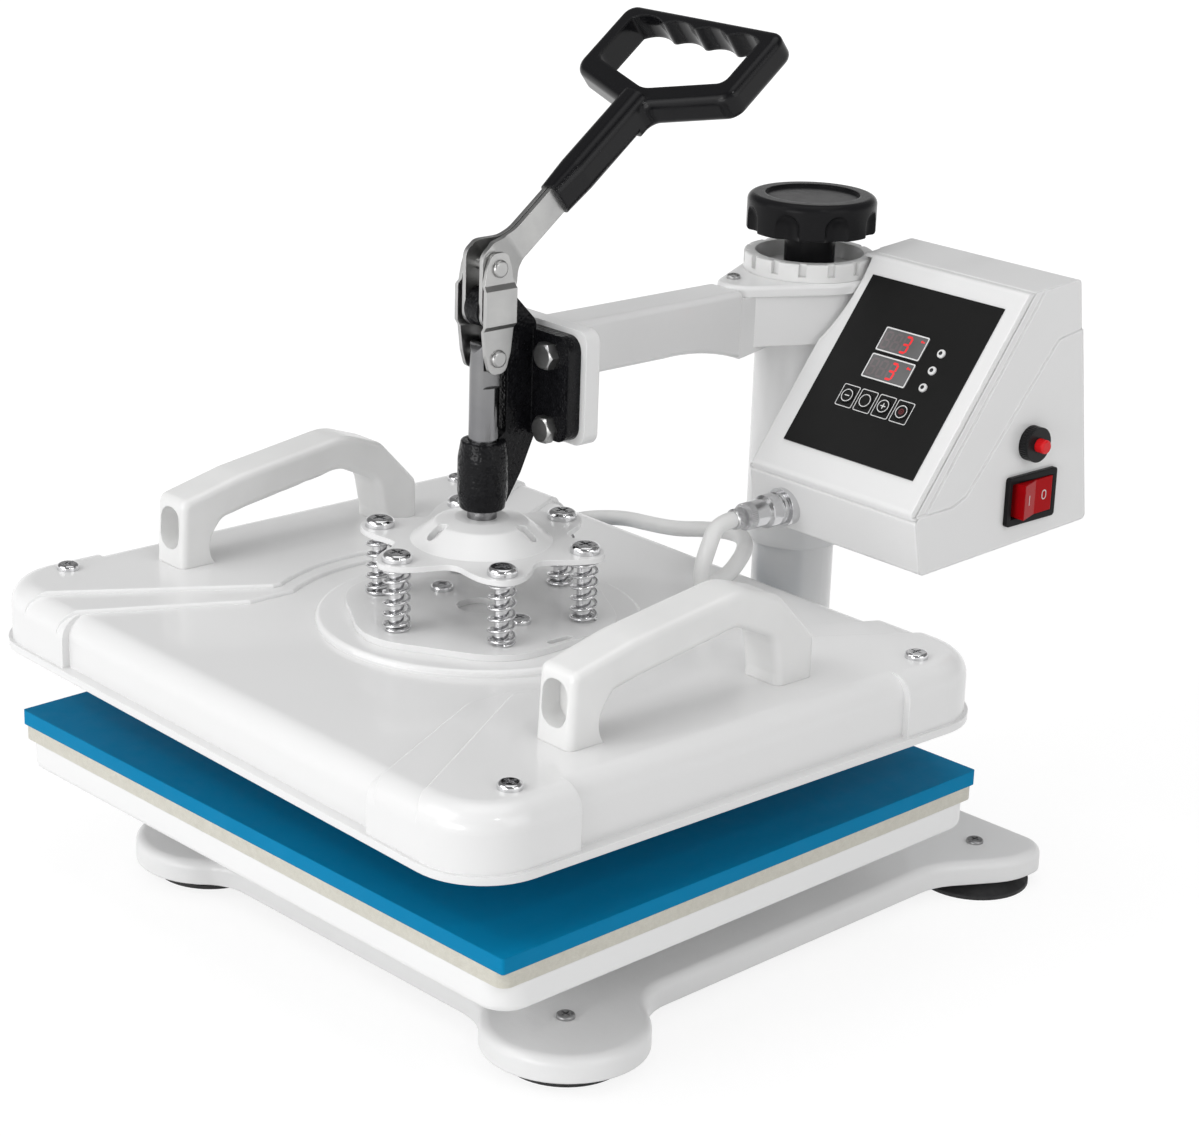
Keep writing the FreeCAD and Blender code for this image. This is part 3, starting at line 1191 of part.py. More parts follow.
def box_profile(off, open_back=False):
    pts = [BOX_FRONT, BOX_LIP, BOX_CREST, BOX_BACK_TOP, BOX_BACK]
    if off == 0:
        return pts
    n = len(pts)
    cy = sum(p[0] for p in pts) / n
    cz = sum(p[1] for p in pts) / n
    lines = []
    for i in range(n):
        a, b = pts[i], pts[(i + 1) % n]
        dy, dz = b[0] - a[0], b[1] - a[1]
        length = math.hypot(dy, dz)
        ny, nz = -dz / length, dy / length
        if (cy - a[0]) * ny + (cz - a[1]) * nz < 0:
            ny, nz = -ny, -nz
        d = -30.0 if (open_back and i == 3) else off
        lines.append((a[0] + ny * d, a[1] + nz * d, dy, dz))
    out = []
    for i in range(n):
        ay, az, ady, adz = lines[i - 1]
        by, bz, bdy, bdz = lines[i]
        det = ady * bdz - adz * bdy
        t = ((by - ay) * bdz - (bz - az) * bdy) / det
        out.append((ay + ady * t, az + adz * t))
    return out


def slope_frame():
    y0, z0 = BOX_LIP
    y1, z1 = BOX_CREST
    length = math.hypot(y1 - y0, z1 - z0)
    return V(0, y0, z0), V(0, (y1 - y0) / length, (z1 - z0) / length)


def on_slope(shape):
    """Shape drawn with X across, Y up the sloping face and Z out of it."""
    origin, up = slope_frame()
    return put(shape, origin, V(1, 0, 0).cross(up), V(1, 0, 0))


def box_layer(step, off=0.0):
    """The box profile with rounded corners, narrower on each side by whole side steps."""
    x0, x1 = BOX_X0 + step * BOX_STEP + off, BOX_X1 - step * BOX_STEP - off
    pts = [(y, z, BOX_EDGE_R) for y, z in box_profile(off)]
    return prism(pts, flat_yz(x0), V(x1 - x0, 0, 0))


def box_form():
    """Side walls stand out in two steps: behind the sloping face, and again low down at the rear."""
    far = BOX_X1 + 50
    behind = on_slope(block(BOX_X0 - 50, far, -far, 2 * far, -far, -STEP_1_IN))
    (y0, z0), (y1, z1) = STEP_2_LINE[0], STEP_2_LINE[-1][:2]
    low = prism([(y0 + 30, z0 + 4)] + list(STEP_2_LINE) + [(y1 - 50, z1 - 1), (y1 - 50, z1 - 60), (y0 + 30, z1 - 60)],
                flat_yz(BOX_X0 - 50), V(BOX_X1 - BOX_X0 + 100, 0, 0))
    return join(box_layer(2), box_layer(1).common(behind), box_layer(0).common(low))


def box_shell():
    body = box_form()
    hollow_x = BOX_IN_X1 - BOX_IN_X0
    body = body.cut(prism(box_profile(BOX_WALL, True), flat_yz(BOX_IN_X0), V(hollow_x, 0, 0)))
    seam = on_slope(block(BOX_X0 - 5, BOX_X1 + 5, -50, 300, -SEAM_IN - SEAM_W / 2, -SEAM_IN + SEAM_W / 2))
    body = body.cut(seam.cut(box_layer(2, SEAM_DEEP)))
    relief_r = HOUSING_R + CAP_LIP + 1.0
    liner = disc(0, 0, HOUSING_Z0 - 6 - BOX_WALL, RING_TOP + 2, relief_r + BOX_WALL)
    body = join(body, liner.common(box_layer(2)).common(block(BOX_IN_X0 - 1, BOX_X1, -90, 90, 0, 400)))
    body = body.cut(disc(0, 0, HOUSING_Z0 - 6, RING_TOP + 2, relief_r))
    top, down, out, length = back_frame()
    for p in back_screw_places():
        lug = block(-LUG / 2, LUG / 2, -LUG / 2, LUG / 2, -BOX_WALL - LUG, -BOX_WALL)
        lug = lug.cut(disc(0, 0, -SMALL_SCREW_LEN, 0, SMALL_SCREW_R))
        body = body.fuse(put(lug, p, out, V(1, 0, 0)))
    for p in bracket_screw_places():
        body = body.cut(bar(p - V(2 * BOX_WALL, 0, 0), p, SMALL_SCREW_R))
    for x in KEY_XS:
        body = body.cut(on_slope(disc(x, KEY_S, -10, 5, KEY_R + GAP)))
    ry, rz = ROCKER_Y, ROCKER_Z
    body = body.cut(block(BOX_X1 - 5, BOX_X1 + 1, ry - BEZEL_LEN / 2 + BEZEL_RIM,
                          ry + BEZEL_LEN / 2 - BEZEL_RIM, rz - BEZEL_H / 2 + BEZEL_RIM, rz + BEZEL_H / 2 - BEZEL_RIM))
    body = body.cut(bar(V(BOX_X1 - 5, RESET_Y, RESET_Z), V(BOX_X1 + 1, RESET_Y, RESET_Z), RESET_NUT_R - 3))
    return body.cut(bar(V(PLUG_X, BOX_LIP[0] - 5, PLUG_Z), V(PLUG_X, BOX_LIP[0] + 12, PLUG_Z), PLUG_R - 2))


def box_rear_cover():
    outer = box_profile(0)
    inner = box_profile(BOX_WALL)
    pts = [inner[3], outer[3], outer[4], inner[4]]
    back = box_profile(BOX_WALL)
    across = V(BOX_IN_X1 - BOX_IN_X0, 0, 0)
    wide = prism(box_profile(BOX_WALL, True), flat_yz(BOX_IN_X0), across)
    whole = prism(box_profile(0), flat_yz(BOX_IN_X0), across)
    core = prism(back, flat_yz(BOX_X0 - 5), V(BOX_X1 - BOX_X0 + 10, 0, 0))
    body = whole.common(wide).cut(core)
    dy, dz = BOX_BACK[0] - BOX_BACK_TOP[0], BOX_BACK[1] - BOX_BACK_TOP[1]
    length = math.hypot(dy, dz)
    n = V(0, -dz / length, dy / length)
    mid_x = 0.5 * (BOX_X0 + BOX_X1)
    for i in range(7):
        s = 0.2 + 0.055 * i
        p = V(mid_x, BOX_BACK_TOP[0] + dy * s, BOX_BACK_TOP[1] + dz * s)
        body = body.cut(put(plate(0, 0, 26, 1.6, 1.5, -8, 8), p, n, V(1, 0, 0)))
    for q in back_screw_places():
        body = body.cut(put(disc(0, 0, -2 * BOX_WALL, BOX_WALL, SMALL_SCREW_R), q, n))
    p = gland_place()[0]
    return body.cut(put(disc(0, 0, -8, 8, 6.0), p, n))


def back_frame():
    """Top middle of the back wall, the way down it and the way out of it."""
    down = V(0, BOX_BACK[0] - BOX_BACK_TOP[0], BOX_BACK[1] - BOX_BACK_TOP[1])
    length = down.Length
    down.normalize()
    return V(0, BOX_BACK_TOP[0], BOX_BACK_TOP[1]), down, V(0, -down.z, down.y), length


def back_screw_places():
    top, down, out, length = back_frame()
    return [V(x, 0, 0) + top + down * s for x in (BOX_IN_X0 + LUG / 2, BOX_IN_X1 - LUG / 2)
            for s in (LUG, length - LUG)]


def gland_place():
    dy, dz = BOX_BACK[0] - BOX_BACK_TOP[0], BOX_BACK[1] - BOX_BACK_TOP[1]
    length = math.hypot(dy, dz)
    n = V(0, -dz / length, dy / length)
    return V(BOX_X1 - GLAND_IN, BOX_BACK_TOP[0] + dy * GLAND_DOWN, BOX_BACK_TOP[1] + dz * GLAND_DOWN), n


def mains_gland():
    p, n = gland_place()
    body = turned([(4.0, -BOX_WALL - 5), (6.0, -BOX_WALL - 5), (6.0, 0), (9.0, 0), (9.0, 5, 1), (7.0, 12, 1), (4.0, 12)])
    return put(body, p, n)


LUG_Y0 = 18.0
LUG_Y1 = 34.0


def bracket_screw_places():
    y = 0.5 * (LUG_Y0 + LUG_Y1) + 2
    zc = 0.5 * (HOUSING_Z0 + HOUSING_TOP)
    return [V(BOX_IN_X0, y, zc + s) for s in (-6.0, 6.0)]


def box_bracket():
    body = upright_x(BOX_X0 - SHEET, BOX_X0, LUG_Y0 + 22, 18, 0.5 * (HOUSING_Z0 + HOUSING_TOP), 10)
    for p in bracket_screw_places():
        body = body.cut(bar(p - V(2 * BOX_WALL + SHEET, 0, 0), p, SMALL_SCREW_R))
    return body


def upright_x(x0, x1, yc, hy, zc, hz):
    pts = [(yc - hy, zc - hz, 3), (yc + hy, zc - hz, 3), (yc + hy, zc + hz, 3), (yc - hy, zc + hz, 3)]
    return prism(pts, flat_yz(x0), V(x1 - x0, 0, 0))


def control_board():
    x0, x1 = BOX_X0 + BOX_WALL + BOARD_IN, BOX_X1 - BOX_WALL - BOARD_IN
    s0, s1 = PANEL_S0 + BOARD_FOOT, PANEL_S1 - BOARD_HEAD
    z0, z1 = -BOARD_DEEP - BOARD_T, -BOARD_DEEP
    body = plate(0.5 * (x0 + x1), 0.5 * (s0 + s1), 0.5 * (x1 - x0), 0.5 * (s1 - s0), 2, z0, z1)
    parts = [block(x0 + 12, x0 + 42, s0 + 8, s0 + 26, z0 - TALL_PART, z0),
             block(x1 - 40, x1 - 12, s0 + 6, s0 + 22, z0 - LOW_PART, z0),
             block(x0 + 14, x1 - 16, s1 - 36, s1 - 8, z1, z1 + DIGIT_PART)]
    for x in KEY_XS:
        parts.append(disc(x, KEY_S, z1, -KEY_DEEP - KEY_TRAVEL - 0.1, BOARD_POST_R))
    posts = [disc(x, s, z1, -BOX_WALL, BOARD_POST_R) for x in (x0 + 9, x1 - 6) for s in (s0 + 8, s1 - 6)]
    return on_slope(join(body, *(parts + posts)))


def panel_overlay():
    hx, hs = 0.5 * (PANEL_X1 - PANEL_X0), 0.5 * (PANEL_S1 - PANEL_S0)
    body = plate(PANEL_X0 + hx, PANEL_S0 + hs, hx, hs, 3, 0, PANEL_T)
    for x in KEY_XS:
        body = body.cut(disc(x, KEY_S, -1, PANEL_T + 1, KEY_R + GAP))
    return on_slope(body)


def display_windows():
    out = []
    for s0, s1 in ((79.2, 93.4), (62.8, 77.2)):
        out.append(on_slope(plate(88.3, 0.5 * (s0 + s1), 15.4, 0.5 * (s1 - s0), 1, PANEL_T, PANEL_T + WINDOW_T)))
    return out


def led_lamps():
    lens = [(0, PANEL_T), (LAMP_R, PANEL_T), (LAMP_R, PANEL_T + 1.2, 0.8), (0, PANEL_T + 1.2)]
    return [on_slope(turned(lens, LAMP_X, s)) for s in LAMP_SS]


def panel_key(x):
    return on_slope(turned([(0, -KEY_DEEP), (KEY_R, -KEY_DEEP), (KEY_R, PANEL_T + KEY_UP, 0.6), (0, PANEL_T + KEY_UP)],
                           x, KEY_S))


def rocker_bezel():
    x0 = BOX_X1
    outer = prism([(ROCKER_Y - BEZEL_LEN / 2, ROCKER_Z - BEZEL_H / 2, 2), (ROCKER_Y + BEZEL_LEN / 2, ROCKER_Z - BEZEL_H / 2, 2),
                   (ROCKER_Y + BEZEL_LEN / 2, ROCKER_Z + BEZEL_H / 2, 2), (ROCKER_Y - BEZEL_LEN / 2, ROCKER_Z + BEZEL_H / 2, 2)],
                  flat_yz(x0), V(BEZEL_T, 0, 0))
    b = BEZEL_RIM
    tube = block(x0 - 13, x0, ROCKER_Y - BEZEL_LEN / 2 + b, ROCKER_Y + BEZEL_LEN / 2 - b,
                 ROCKER_Z - BEZEL_H / 2 + b, ROCKER_Z + BEZEL_H / 2 - b)
    w = ROCKER_LEN / 2 + 2.4
    h = ROCKER_H / 2 + GAP
    body = join(outer, tube).cut(block(x0 - 14, x0 + BEZEL_T + 1, ROCKER_Y - w, ROCKER_Y + w, ROCKER_Z - h, ROCKER_Z + h))
    return body.cut(rocker_pin(ROCKER_PIN_R + RUN, 1.0))


def rocker_pin(r, more):
    """Pivot of the rocker, which ends in the side walls of the bezel."""
    half = BEZEL_H / 2 - BEZEL_RIM + more
    x = BOX_X1 + BEZEL_T - ROCKER_DEEP
    return disc(x, ROCKER_Y, ROCKER_Z - half, ROCKER_Z + half, r)


def rocker():
    face = BOX_X1 + BEZEL_T
    half = ROCKER_LEN / 2
    pts = [(face + 3, ROCKER_Y - half), (face + 1, ROCKER_Y), (face + 3, ROCKER_Y + half),
           (face - 9, ROCKER_Y + half - 2, 2), (face - 9, ROCKER_Y - half + 2, 2)]
    body = prism(pts, flat_xy(ROCKER_Z - ROCKER_H / 2), V(0, 0, ROCKER_H))
    body = join(body, rocker_pin(ROCKER_PIN_R, -0.2))
    body.rotate(V(face - ROCKER_DEEP, ROCKER_Y, 0), V(0, 0, 1), ROCKER_TILT)
    return body


def reset_nut():
    x0 = BOX_X1
    body = join(bar(V(x0, RESET_Y, RESET_Z), V(x0 + RESET_NUT_T, RESET_Y, RESET_Z), RESET_NUT_R),
                bar(V(x0 - 20, RESET_Y, RESET_Z), V(x0, RESET_Y, RESET_Z), RESET_NUT_R - 3))
    return body.cut(bar(V(x0 - 8, RESET_Y, RESET_Z), V(x0 + RESET_NUT_T + 1, RESET_Y, RESET_Z), RESET_R + RUN))


def reset_button():
    x0 = BOX_X1
    body = turned([(0, -4), (RESET_R, -4), (RESET_R, RESET_NUT_T + RESET_OUT, 1.2), (0, RESET_NUT_T + RESET_OUT)])
    return put(body, V(x0, RESET_Y, RESET_Z), V(1, 0, 0))


def plug_wall_y():
    f = (PLUG_Z - BOX_FRONT[1]) / (BOX_LIP[1] - BOX_FRONT[1])
    return BOX_FRONT[0] + f * (BOX_LIP[0] - BOX_FRONT[0])


SOCKET_Y = -70.0


def aviation_socket():
    y = SOCKET_Y
    wall = plug_wall_y()
    body = join(bar(V(PLUG_X, y, PLUG_Z), V(PLUG_X, wall + 2, PLUG_Z), PLUG_R + 1.5),
                bar(V(PLUG_X, wall, PLUG_Z), V(PLUG_X, wall + 16, PLUG_Z), PLUG_R - 2))
    shell = prism(box_profile(0), flat_yz(BOX_X0), V(BOX_X1 - BOX_X0, 0, 0))
    collar = body.cut(shell)
    inner = body.common(bar(V(PLUG_X, y, PLUG_Z), V(PLUG_X, wall + 16, PLUG_Z), PLUG_R - 2))
    return join(collar, inner)


def aviation_plug():
    y = SOCKET_Y
    g = PLUG_GROOVE
    profile = [(0, 0), (PLUG_R, 0), (PLUG_R, 3), (PLUG_R - g, 3 + g), (PLUG_R - g, 3 + 2 * g), (PLUG_R, 3 + 3 * g),
               (PLUG_R, 12, 1), (PLUG_R - 1.6, 13.5), (PLUG_R - 1.6, 27, 1), (PLUG_R - 3.4, 28),
               (PLUG_R - 3.4, y - PLUG_NUT_Y, 1), (0, y - PLUG_NUT_Y)]
    return put(turned(profile), V(PLUG_X, y, PLUG_Z), V(0, -1, 0))


# Route of the cord from the plug to the rear wall of the cover, drawn from the column axis
CORD_ROUTE = [(55.0, -105.0, 209.0), (55.0, -116.5, 209.0), (57.0, -124.0, 198.0), (54.0, -125.5, 185.0),
              (48.5, -119.0, 171.3), (45.0, -108.0, 170.6), (45.0, -96.0, 173.5), (44.5, -86.0, 181.5),
              (38.5, -77.0, 185.0), (24.0, -66.5, 184.5), (-1.0, -56.5, 178.5), (-26.0, -49.5, 171.0),
              (-50.0, -43.5, 163.5), (-73.0, -35.5, 157.5), (-93.0, -28.0, 152.5), (-111.5, -25.5, 149.8),
              (-124.5, -32.5, 148.5), (CORD_EXIT_X, -45.5, CORD_EXIT_Z), (CORD_EXIT_X, -61.0, CORD_EXIT_Z)]


def cord():
    pts = [V(*p) for p in CORD_ROUTE]
    runs = [(pts[i + 1] - pts[i]).Length for i in range(len(pts) - 1)]
    edges = []
    last = pts[0]
    radii = []
    for i in range(1, len(pts) - 1):
        a = pts[i - 1] - pts[i]
        b = pts[i + 1] - pts[i]
        a.normalize()
        b.normalize()
        turn = math.pi - math.acos(max(-1.0, min(1.0, a.dot(b))))
        t = 0.45 * min(runs[i - 1], runs[i])
        r = t / math.tan(turn / 2)
        radii.append((round(r, 1), round(math.degrees(turn), 1)))
        p, q = pts[i] + a * t, pts[i] + b * t
        m = a + b
        m.normalize()
        mid = pts[i] + m * (r / math.cos(turn / 2) - r)
        edges.append(Part.LineSegment(last, p).toShape())
        edges.append(Part.Arc(p, mid, q).toShape())
        last = q
    edges.append(Part.LineSegment(last, pts[-1]).toShape())
    path = Part.Wire(edges)
    ring = Part.Wire([Part.Circle(pts[0], pts[1] - pts[0], CORD_R).toShape()])
    body = path.makePipeShell([ring], True, False)
    length = path.Length
    print("cord length %.1f volume ratio %.4f" % (length, body.Volume / (math.pi * CORD_R ** 2 * length)))
    print("cord radii and turns", radii)
    return body


def head_screws():
    s = pan_screw(SMALL_SCREW_R, SMALL_SCREW_LEN, SMALL_SCREW_HEAD_R, SMALL_SCREW_HEAD_H)
    top, down, out, length = back_frame()
    rows = [put(s, V(CAP_SCREW[0], CAP_SCREW[1], CAP_TOP), V(0, 0, 1))]
    rows += [put(s, p, out) for p in back_screw_places()]
    return rows + [put(s, p, V(1, 0, 0)) for p in bracket_screw_places()]


def main():
    os.makedirs("parts", exist_ok=True)
    export("base_casting", base_casting())
    export("rubber_feet", [rubber_foot(x, y) for x, y in foot_places()])
    export("foot_screws", [foot_screw(x, y) for x, y in foot_places()])
    export("support_posts", [support_post(x, y) for x, y in post_places()])
    export("support_bolts", [support_bolt(x, y) for x, y in post_places()])
    export("platen_frame", platen_frame())
    export("platen_screws", [platen_screw(x, y) for x, y in platen_screw_places()])
    export("lower_platen", lower_platen())
    export("felt_pad", plate(0, PAD_CENTRE_Y, PAD_X / 2, PAD_Y / 2, FELT_CORNER_R, PLATEN_TOP, FELT_TOP))
    export("silicone_pad", plate(0, PAD_CENTRE_Y, PAD_X / 2, PAD_Y / 2, SILICONE_CORNER_R, FELT_TOP, PAD_TOP))
    export("column_tube", column_tube())
    export("column_nut", column_nut())
    export_head("spindle", spindle())
    export_head("thrust_collar", thrust_collar())
    export_head("adjust_knob", adjust_knob())
    export_head("swivel_sleeve", swivel_sleeve())
    export_head("swivel_housing", swivel_housing())
    export_head("housing_cap", housing_cap())
    export_head("index_ring", index_ring())
    export_head("arm", arm())
    export_head("mounting_plate", mounting_plate())
    export_head("clamp_casting", clamp_casting())
    export_head("clamp_bolts", [clamp_bolt(x, z) for x, z in clamp_bolt_places()])
    export_head("pivot_pin", pivot_pin())
    export_head("handle_lever", handle_lever())
    export_head("handle_grip", handle_grip())
    export_head("lever_pin", pin_b())
    export_head("link_plates", [link_plate(1), link_plate(-1)])
    export_head("plunger_rod", plunger_rod())
    export_head("star_plate", star_plate())
    export_head("spring_plate", spring_plate())
    export_head("shoulder_screws", [shoulder_screw(k) for k in range(6)])
    export_head("springs", [spring(k) for k in range(6)])
    export_head("heat_cover", heat_cover())
    export_head("cord_grommet", cord_grommet())
    export_head("cover_screws", cover_screws())
    export_head("cover_handles", [cover_handle(-1), cover_handle(1)])
    export_head("heating_plate", heating_plate())
    export_head("heating_element", heating_element())
    export_head("insulation", insulation())
    export_head("box_shell", box_shell())
    export_head("box_rear_cover", box_rear_cover())
    export_head("box_bracket", box_bracket())
    export_head("control_board", control_board())
    export_head("panel_overlay", panel_overlay())
    export_head("display_windows", display_windows())
    export_head("led_lamps", led_lamps())
    for name, x in zip(("key_minus", "key_set", "key_plus", "key_start"), KEY_XS):
        export_head(name, panel_key(x))
    export_head("rocker_bezel", rocker_bezel())
    export_head("rocker", rocker())
    export_head("reset_nut", reset_nut())
    export_head("reset_button", reset_button())
    export_head("mains_gland", mains_gland())
    export_head("aviation_socket", aviation_socket())
    export_head("aviation_plug", aviation_plug())
    export_head("cord", cord())
    export_head("head_screws", head_screws())


main()
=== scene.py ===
import math

import bpy
from mathutils import Matrix, Vector


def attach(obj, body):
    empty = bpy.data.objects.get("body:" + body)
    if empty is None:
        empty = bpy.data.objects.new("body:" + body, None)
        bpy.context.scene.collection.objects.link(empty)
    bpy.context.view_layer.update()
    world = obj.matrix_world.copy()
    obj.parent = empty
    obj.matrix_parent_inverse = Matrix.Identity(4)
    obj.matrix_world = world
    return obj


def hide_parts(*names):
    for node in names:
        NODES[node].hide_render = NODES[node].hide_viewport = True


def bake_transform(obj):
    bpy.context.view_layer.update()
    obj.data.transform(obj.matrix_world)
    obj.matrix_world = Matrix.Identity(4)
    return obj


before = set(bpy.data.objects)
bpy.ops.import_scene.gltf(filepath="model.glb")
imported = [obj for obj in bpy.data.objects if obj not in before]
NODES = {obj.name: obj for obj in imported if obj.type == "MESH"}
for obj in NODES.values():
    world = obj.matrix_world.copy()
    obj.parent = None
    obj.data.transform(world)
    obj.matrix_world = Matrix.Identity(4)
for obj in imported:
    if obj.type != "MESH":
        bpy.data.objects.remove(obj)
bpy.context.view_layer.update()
MM = 0.001

# The head is drawn from the column axis, lined up with the pad, and is parked a little to one side.
HEAD = Matrix.Translation((0, 0.151, 0)) @ Matrix.Rotation(math.radians(-2.2), 4, "Z")
# The sloping face of the control box: X across, Y up the slope, Z out of it.
SLOPE_FOOT = Vector((0, -0.069, 0.2295))
SLOPE_WAY = Vector((0, 0.080, 0.104)).normalized()
SLOPE = HEAD @ Matrix.Translation(SLOPE_FOOT) @ Matrix((
    (1, 0, 0, 0),
    (0, SLOPE_WAY.y, -SLOPE_WAY.z, 0),
    (0, SLOPE_WAY.z, SLOPE_WAY.y, 0),
    (0, 0, 0, 1)))

# Camera
PHOTO_W, FOCAL_PX = 1200, 2851.0
SENSOR = 36
AZIMUTH, ELEVATION, ROLL = 45.4, 19.21, 1.92
CAMERA_AT = (1.02119, -1.00982, 0.67813)


def make_camera():
    a, e, r = (math.radians(x) for x in (AZIMUTH, ELEVATION, ROLL))
    ahead = Vector((-math.sin(a) * math.cos(e), math.cos(a) * math.cos(e), -math.sin(e)))
    right = Vector((math.cos(a), math.sin(a), 0))
    up = right.cross(ahead)
    cam_x = right * math.cos(r) + up * math.sin(r)
    cam_y = up * math.cos(r) - right * math.sin(r)
    data = bpy.data.cameras.new("camera")
    data.sensor_fit = "HORIZONTAL"
    data.sensor_width = SENSOR
    data.lens = FOCAL_PX * SENSOR / PHOTO_W
    data.clip_start, data.clip_end = 0.05, 60
    cam = bpy.data.objects.new("camera", data)
    bpy.context.scene.collection.objects.link(cam)
    cam.matrix_world = Matrix((
        (cam_x.x, cam_y.x, -ahead.x, CAMERA_AT[0]),
        (cam_x.y, cam_y.y, -ahead.y, CAMERA_AT[1]),
        (cam_x.z, cam_y.z, -ahead.z, CAMERA_AT[2]),
        (0, 0, 0, 1)))
    bpy.context.scene.camera = cam


make_camera()


# Materials
NOISE_SPREAD = (0.3, 0.7)


def ranged(tree, value, bounds):
    """A value taken from one range to another; bounds are from, to, new from, new to."""
    node = tree.nodes.new("ShaderNodeMapRange")
    for name, bound in zip(("From Min", "From Max", "To Min", "To Max"), bounds):
        node.inputs[name].default_value = bound
    tree.links.new(value, node.inputs["Value"])
    return node.outputs[0]


class Nodes:
    """A small builder for a procedural material around one Principled shader."""

    def __init__(self, name):
        self.mat = bpy.data.materials.new(name)
        self.mat.use_nodes = True
        self.tree = self.mat.node_tree
        self.tree.nodes.clear()
        self.out = self.tree.nodes.new("ShaderNodeOutputMaterial")
        self.shader = self.tree.nodes.new("ShaderNodeBsdfPrincipled")
        self.tree.links.new(self.shader.outputs[0], self.out.inputs[0])
        self.place = self.tree.nodes.new("ShaderNodeTexCoord").outputs["Object"]
        self.bump_from = None

    def edge(self, radius, samples=4):
        """Rounds sharp edges a little, as paint, plating and moulds do."""
        node = self.tree.nodes.new("ShaderNodeBevel")
        node.samples = samples
        node.inputs["Radius"].default_value = radius
        self.bump_from = node.outputs[0]

    def highlight_share(self, turn=0.02):
        """0 on flat faces and 1 where edge() turns the surface away from its face; the mask of a painted
        edge highlight.
        """
        faces = self.tree.nodes.new("ShaderNodeNewGeometry")
        node = self.tree.nodes.new("ShaderNodeVectorMath")
        node.operation = "DOT_PRODUCT"
        self.tree.links.new(self.bump_from, node.inputs[0])
        self.tree.links.new(faces.outputs["Normal"], node.inputs[1])
        return self.ranged(node.outputs["Value"], 1.0, 1.0 - turn, 0.0, 1.0)

    def set(self, **values):
        for key, value in values.items():
            self.shader.inputs[key.replace("_", " ")].default_value = value

    def stretched(self, sx, sy, sz):
        node = self.tree.nodes.new("ShaderNodeMapping")
        node.inputs["Scale"].default_value = (sx, sy, sz)
        self.tree.links.new(self.place, node.inputs["Vector"])
        return node.outputs[0]

    def noise(self, scale, detail=3.0, rough=0.5, place=None, distort=0.0):
        node = self.tree.nodes.new("ShaderNodeTexNoise")
        node.inputs["Scale"].default_value = scale
        node.inputs["Detail"].default_value = detail
        node.inputs["Roughness"].default_value = rough
        node.inputs["Distortion"].default_value = distort
        self.tree.links.new(place or self.place, node.inputs["Vector"])
        return node.outputs["Fac"]

    def cells(self, scale):
        node = self.tree.nodes.new("ShaderNodeTexVoronoi")
        node.feature = "SMOOTH_F1"
        node.inputs["Scale"].default_value = scale
        self.tree.links.new(self.place, node.inputs["Vector"])
        return node.outputs["Distance"]

    def ranged(self, value, low, high, out_low, out_high):
        return ranged(self.tree, value, (low, high, out_low, out_high))

    def mixed(self, value, first, second):
        node = self.tree.nodes.new("ShaderNodeMix")
        node.data_type = "RGBA"
        self.tree.links.new(value, node.inputs["Factor"])
        for socket, colour in ((node.inputs[6], first), (node.inputs[7], second)):
            if isinstance(colour, bpy.types.NodeSocket):
                self.tree.links.new(colour, socket)
            else:
                socket.default_value = (*colour, 1)
        return node.outputs[2]

    def math(self, kind, first, second=None):
        node = self.tree.nodes.new("ShaderNodeMath")
        node.operation = kind
        for socket, value in zip(node.inputs, (first, second)):
            if isinstance(value, bpy.types.NodeSocket):
                self.tree.links.new(value, socket)
            elif value is not None:
                socket.default_value = value
        return node.outputs[0]

    def turned_ribs(self, frame_at, count):
        """A wave of so many ribs round the Z axis of a frame, for knurls."""
        node = self.tree.nodes.new("ShaderNodeMapping")
        back = frame_at.inverted()
        node.inputs["Location"].default_value = back.to_translation()
        node.inputs["Rotation"].default_value = back.to_euler()
        self.tree.links.new(self.place, node.inputs["Vector"])
        split = self.tree.nodes.new("ShaderNodeSeparateXYZ")
        self.tree.links.new(node.outputs[0], split.inputs[0])
        angle = self.math("ARCTAN2", split.outputs["Y"], split.outputs["X"])
        return self.math("SINE", self.math("MULTIPLY", angle, float(count))), split.outputs["Z"]

    def drift(self, noise, first, second, spread=NOISE_SPREAD):
        """A colour that a noise carries from the first to the second."""
        return self.mixed(self.ranged(noise, *spread, 0, 1), first, second)

    def colour(self, value):
        self.tree.links.new(value, self.shader.inputs["Base Color"])

    def rough(self, noise, low, high):
        value = self.ranged(noise, *NOISE_SPREAD, low, high)
        self.tree.links.new(value, self.shader.inputs["Roughness"])

    def bump(self, height, distance, strength=1.0):
        node = self.tree.nodes.new("ShaderNodeBump")
        node.inputs["Strength"].default_value = strength
        node.inputs["Distance"].default_value = distance
        self.tree.links.new(height, node.inputs["Height"])
        if self.bump_from is not None:
            self.tree.links.new(self.bump_from, node.inputs["Normal"])
        self.bump_from = node.outputs[0]
        self.tree.links.new(self.bump_from, self.shader.inputs["Normal"])


def tint(colour, share):
    return tuple(c * share for c in colour)


def enamel(name, colour, rough=(0.29, 0.36), peel=0.00003, coat=0.5, round_by=0.0007,
           highlight_colour=None):
    """Sprayed and baked paint: orange peel, a very faint random drift of tone, and an optional painted
    highlight along rounded edges.
    """
    n = Nodes(name)
    n.edge(round_by)
    paint = n.drift(n.noise(5, 3), tint(colour, 0.985), colour)
    # Painted highlight: rounded edges turn to a lighter colour, standing in for the light they catch.
    if highlight_colour:
        paint = n.mixed(n.highlight_share(), paint, highlight_colour)
    n.colour(paint)
    n.rough(n.noise(30, 2, 0.4), *rough)
    n.set(Coat_Weight=coat, Coat_Roughness=0.1)
    n.bump(n.noise(240, 2, 0.4), peel)
    n.bump(n.noise(1400, 2, 0.5), peel * 0.25)
    return n.mat


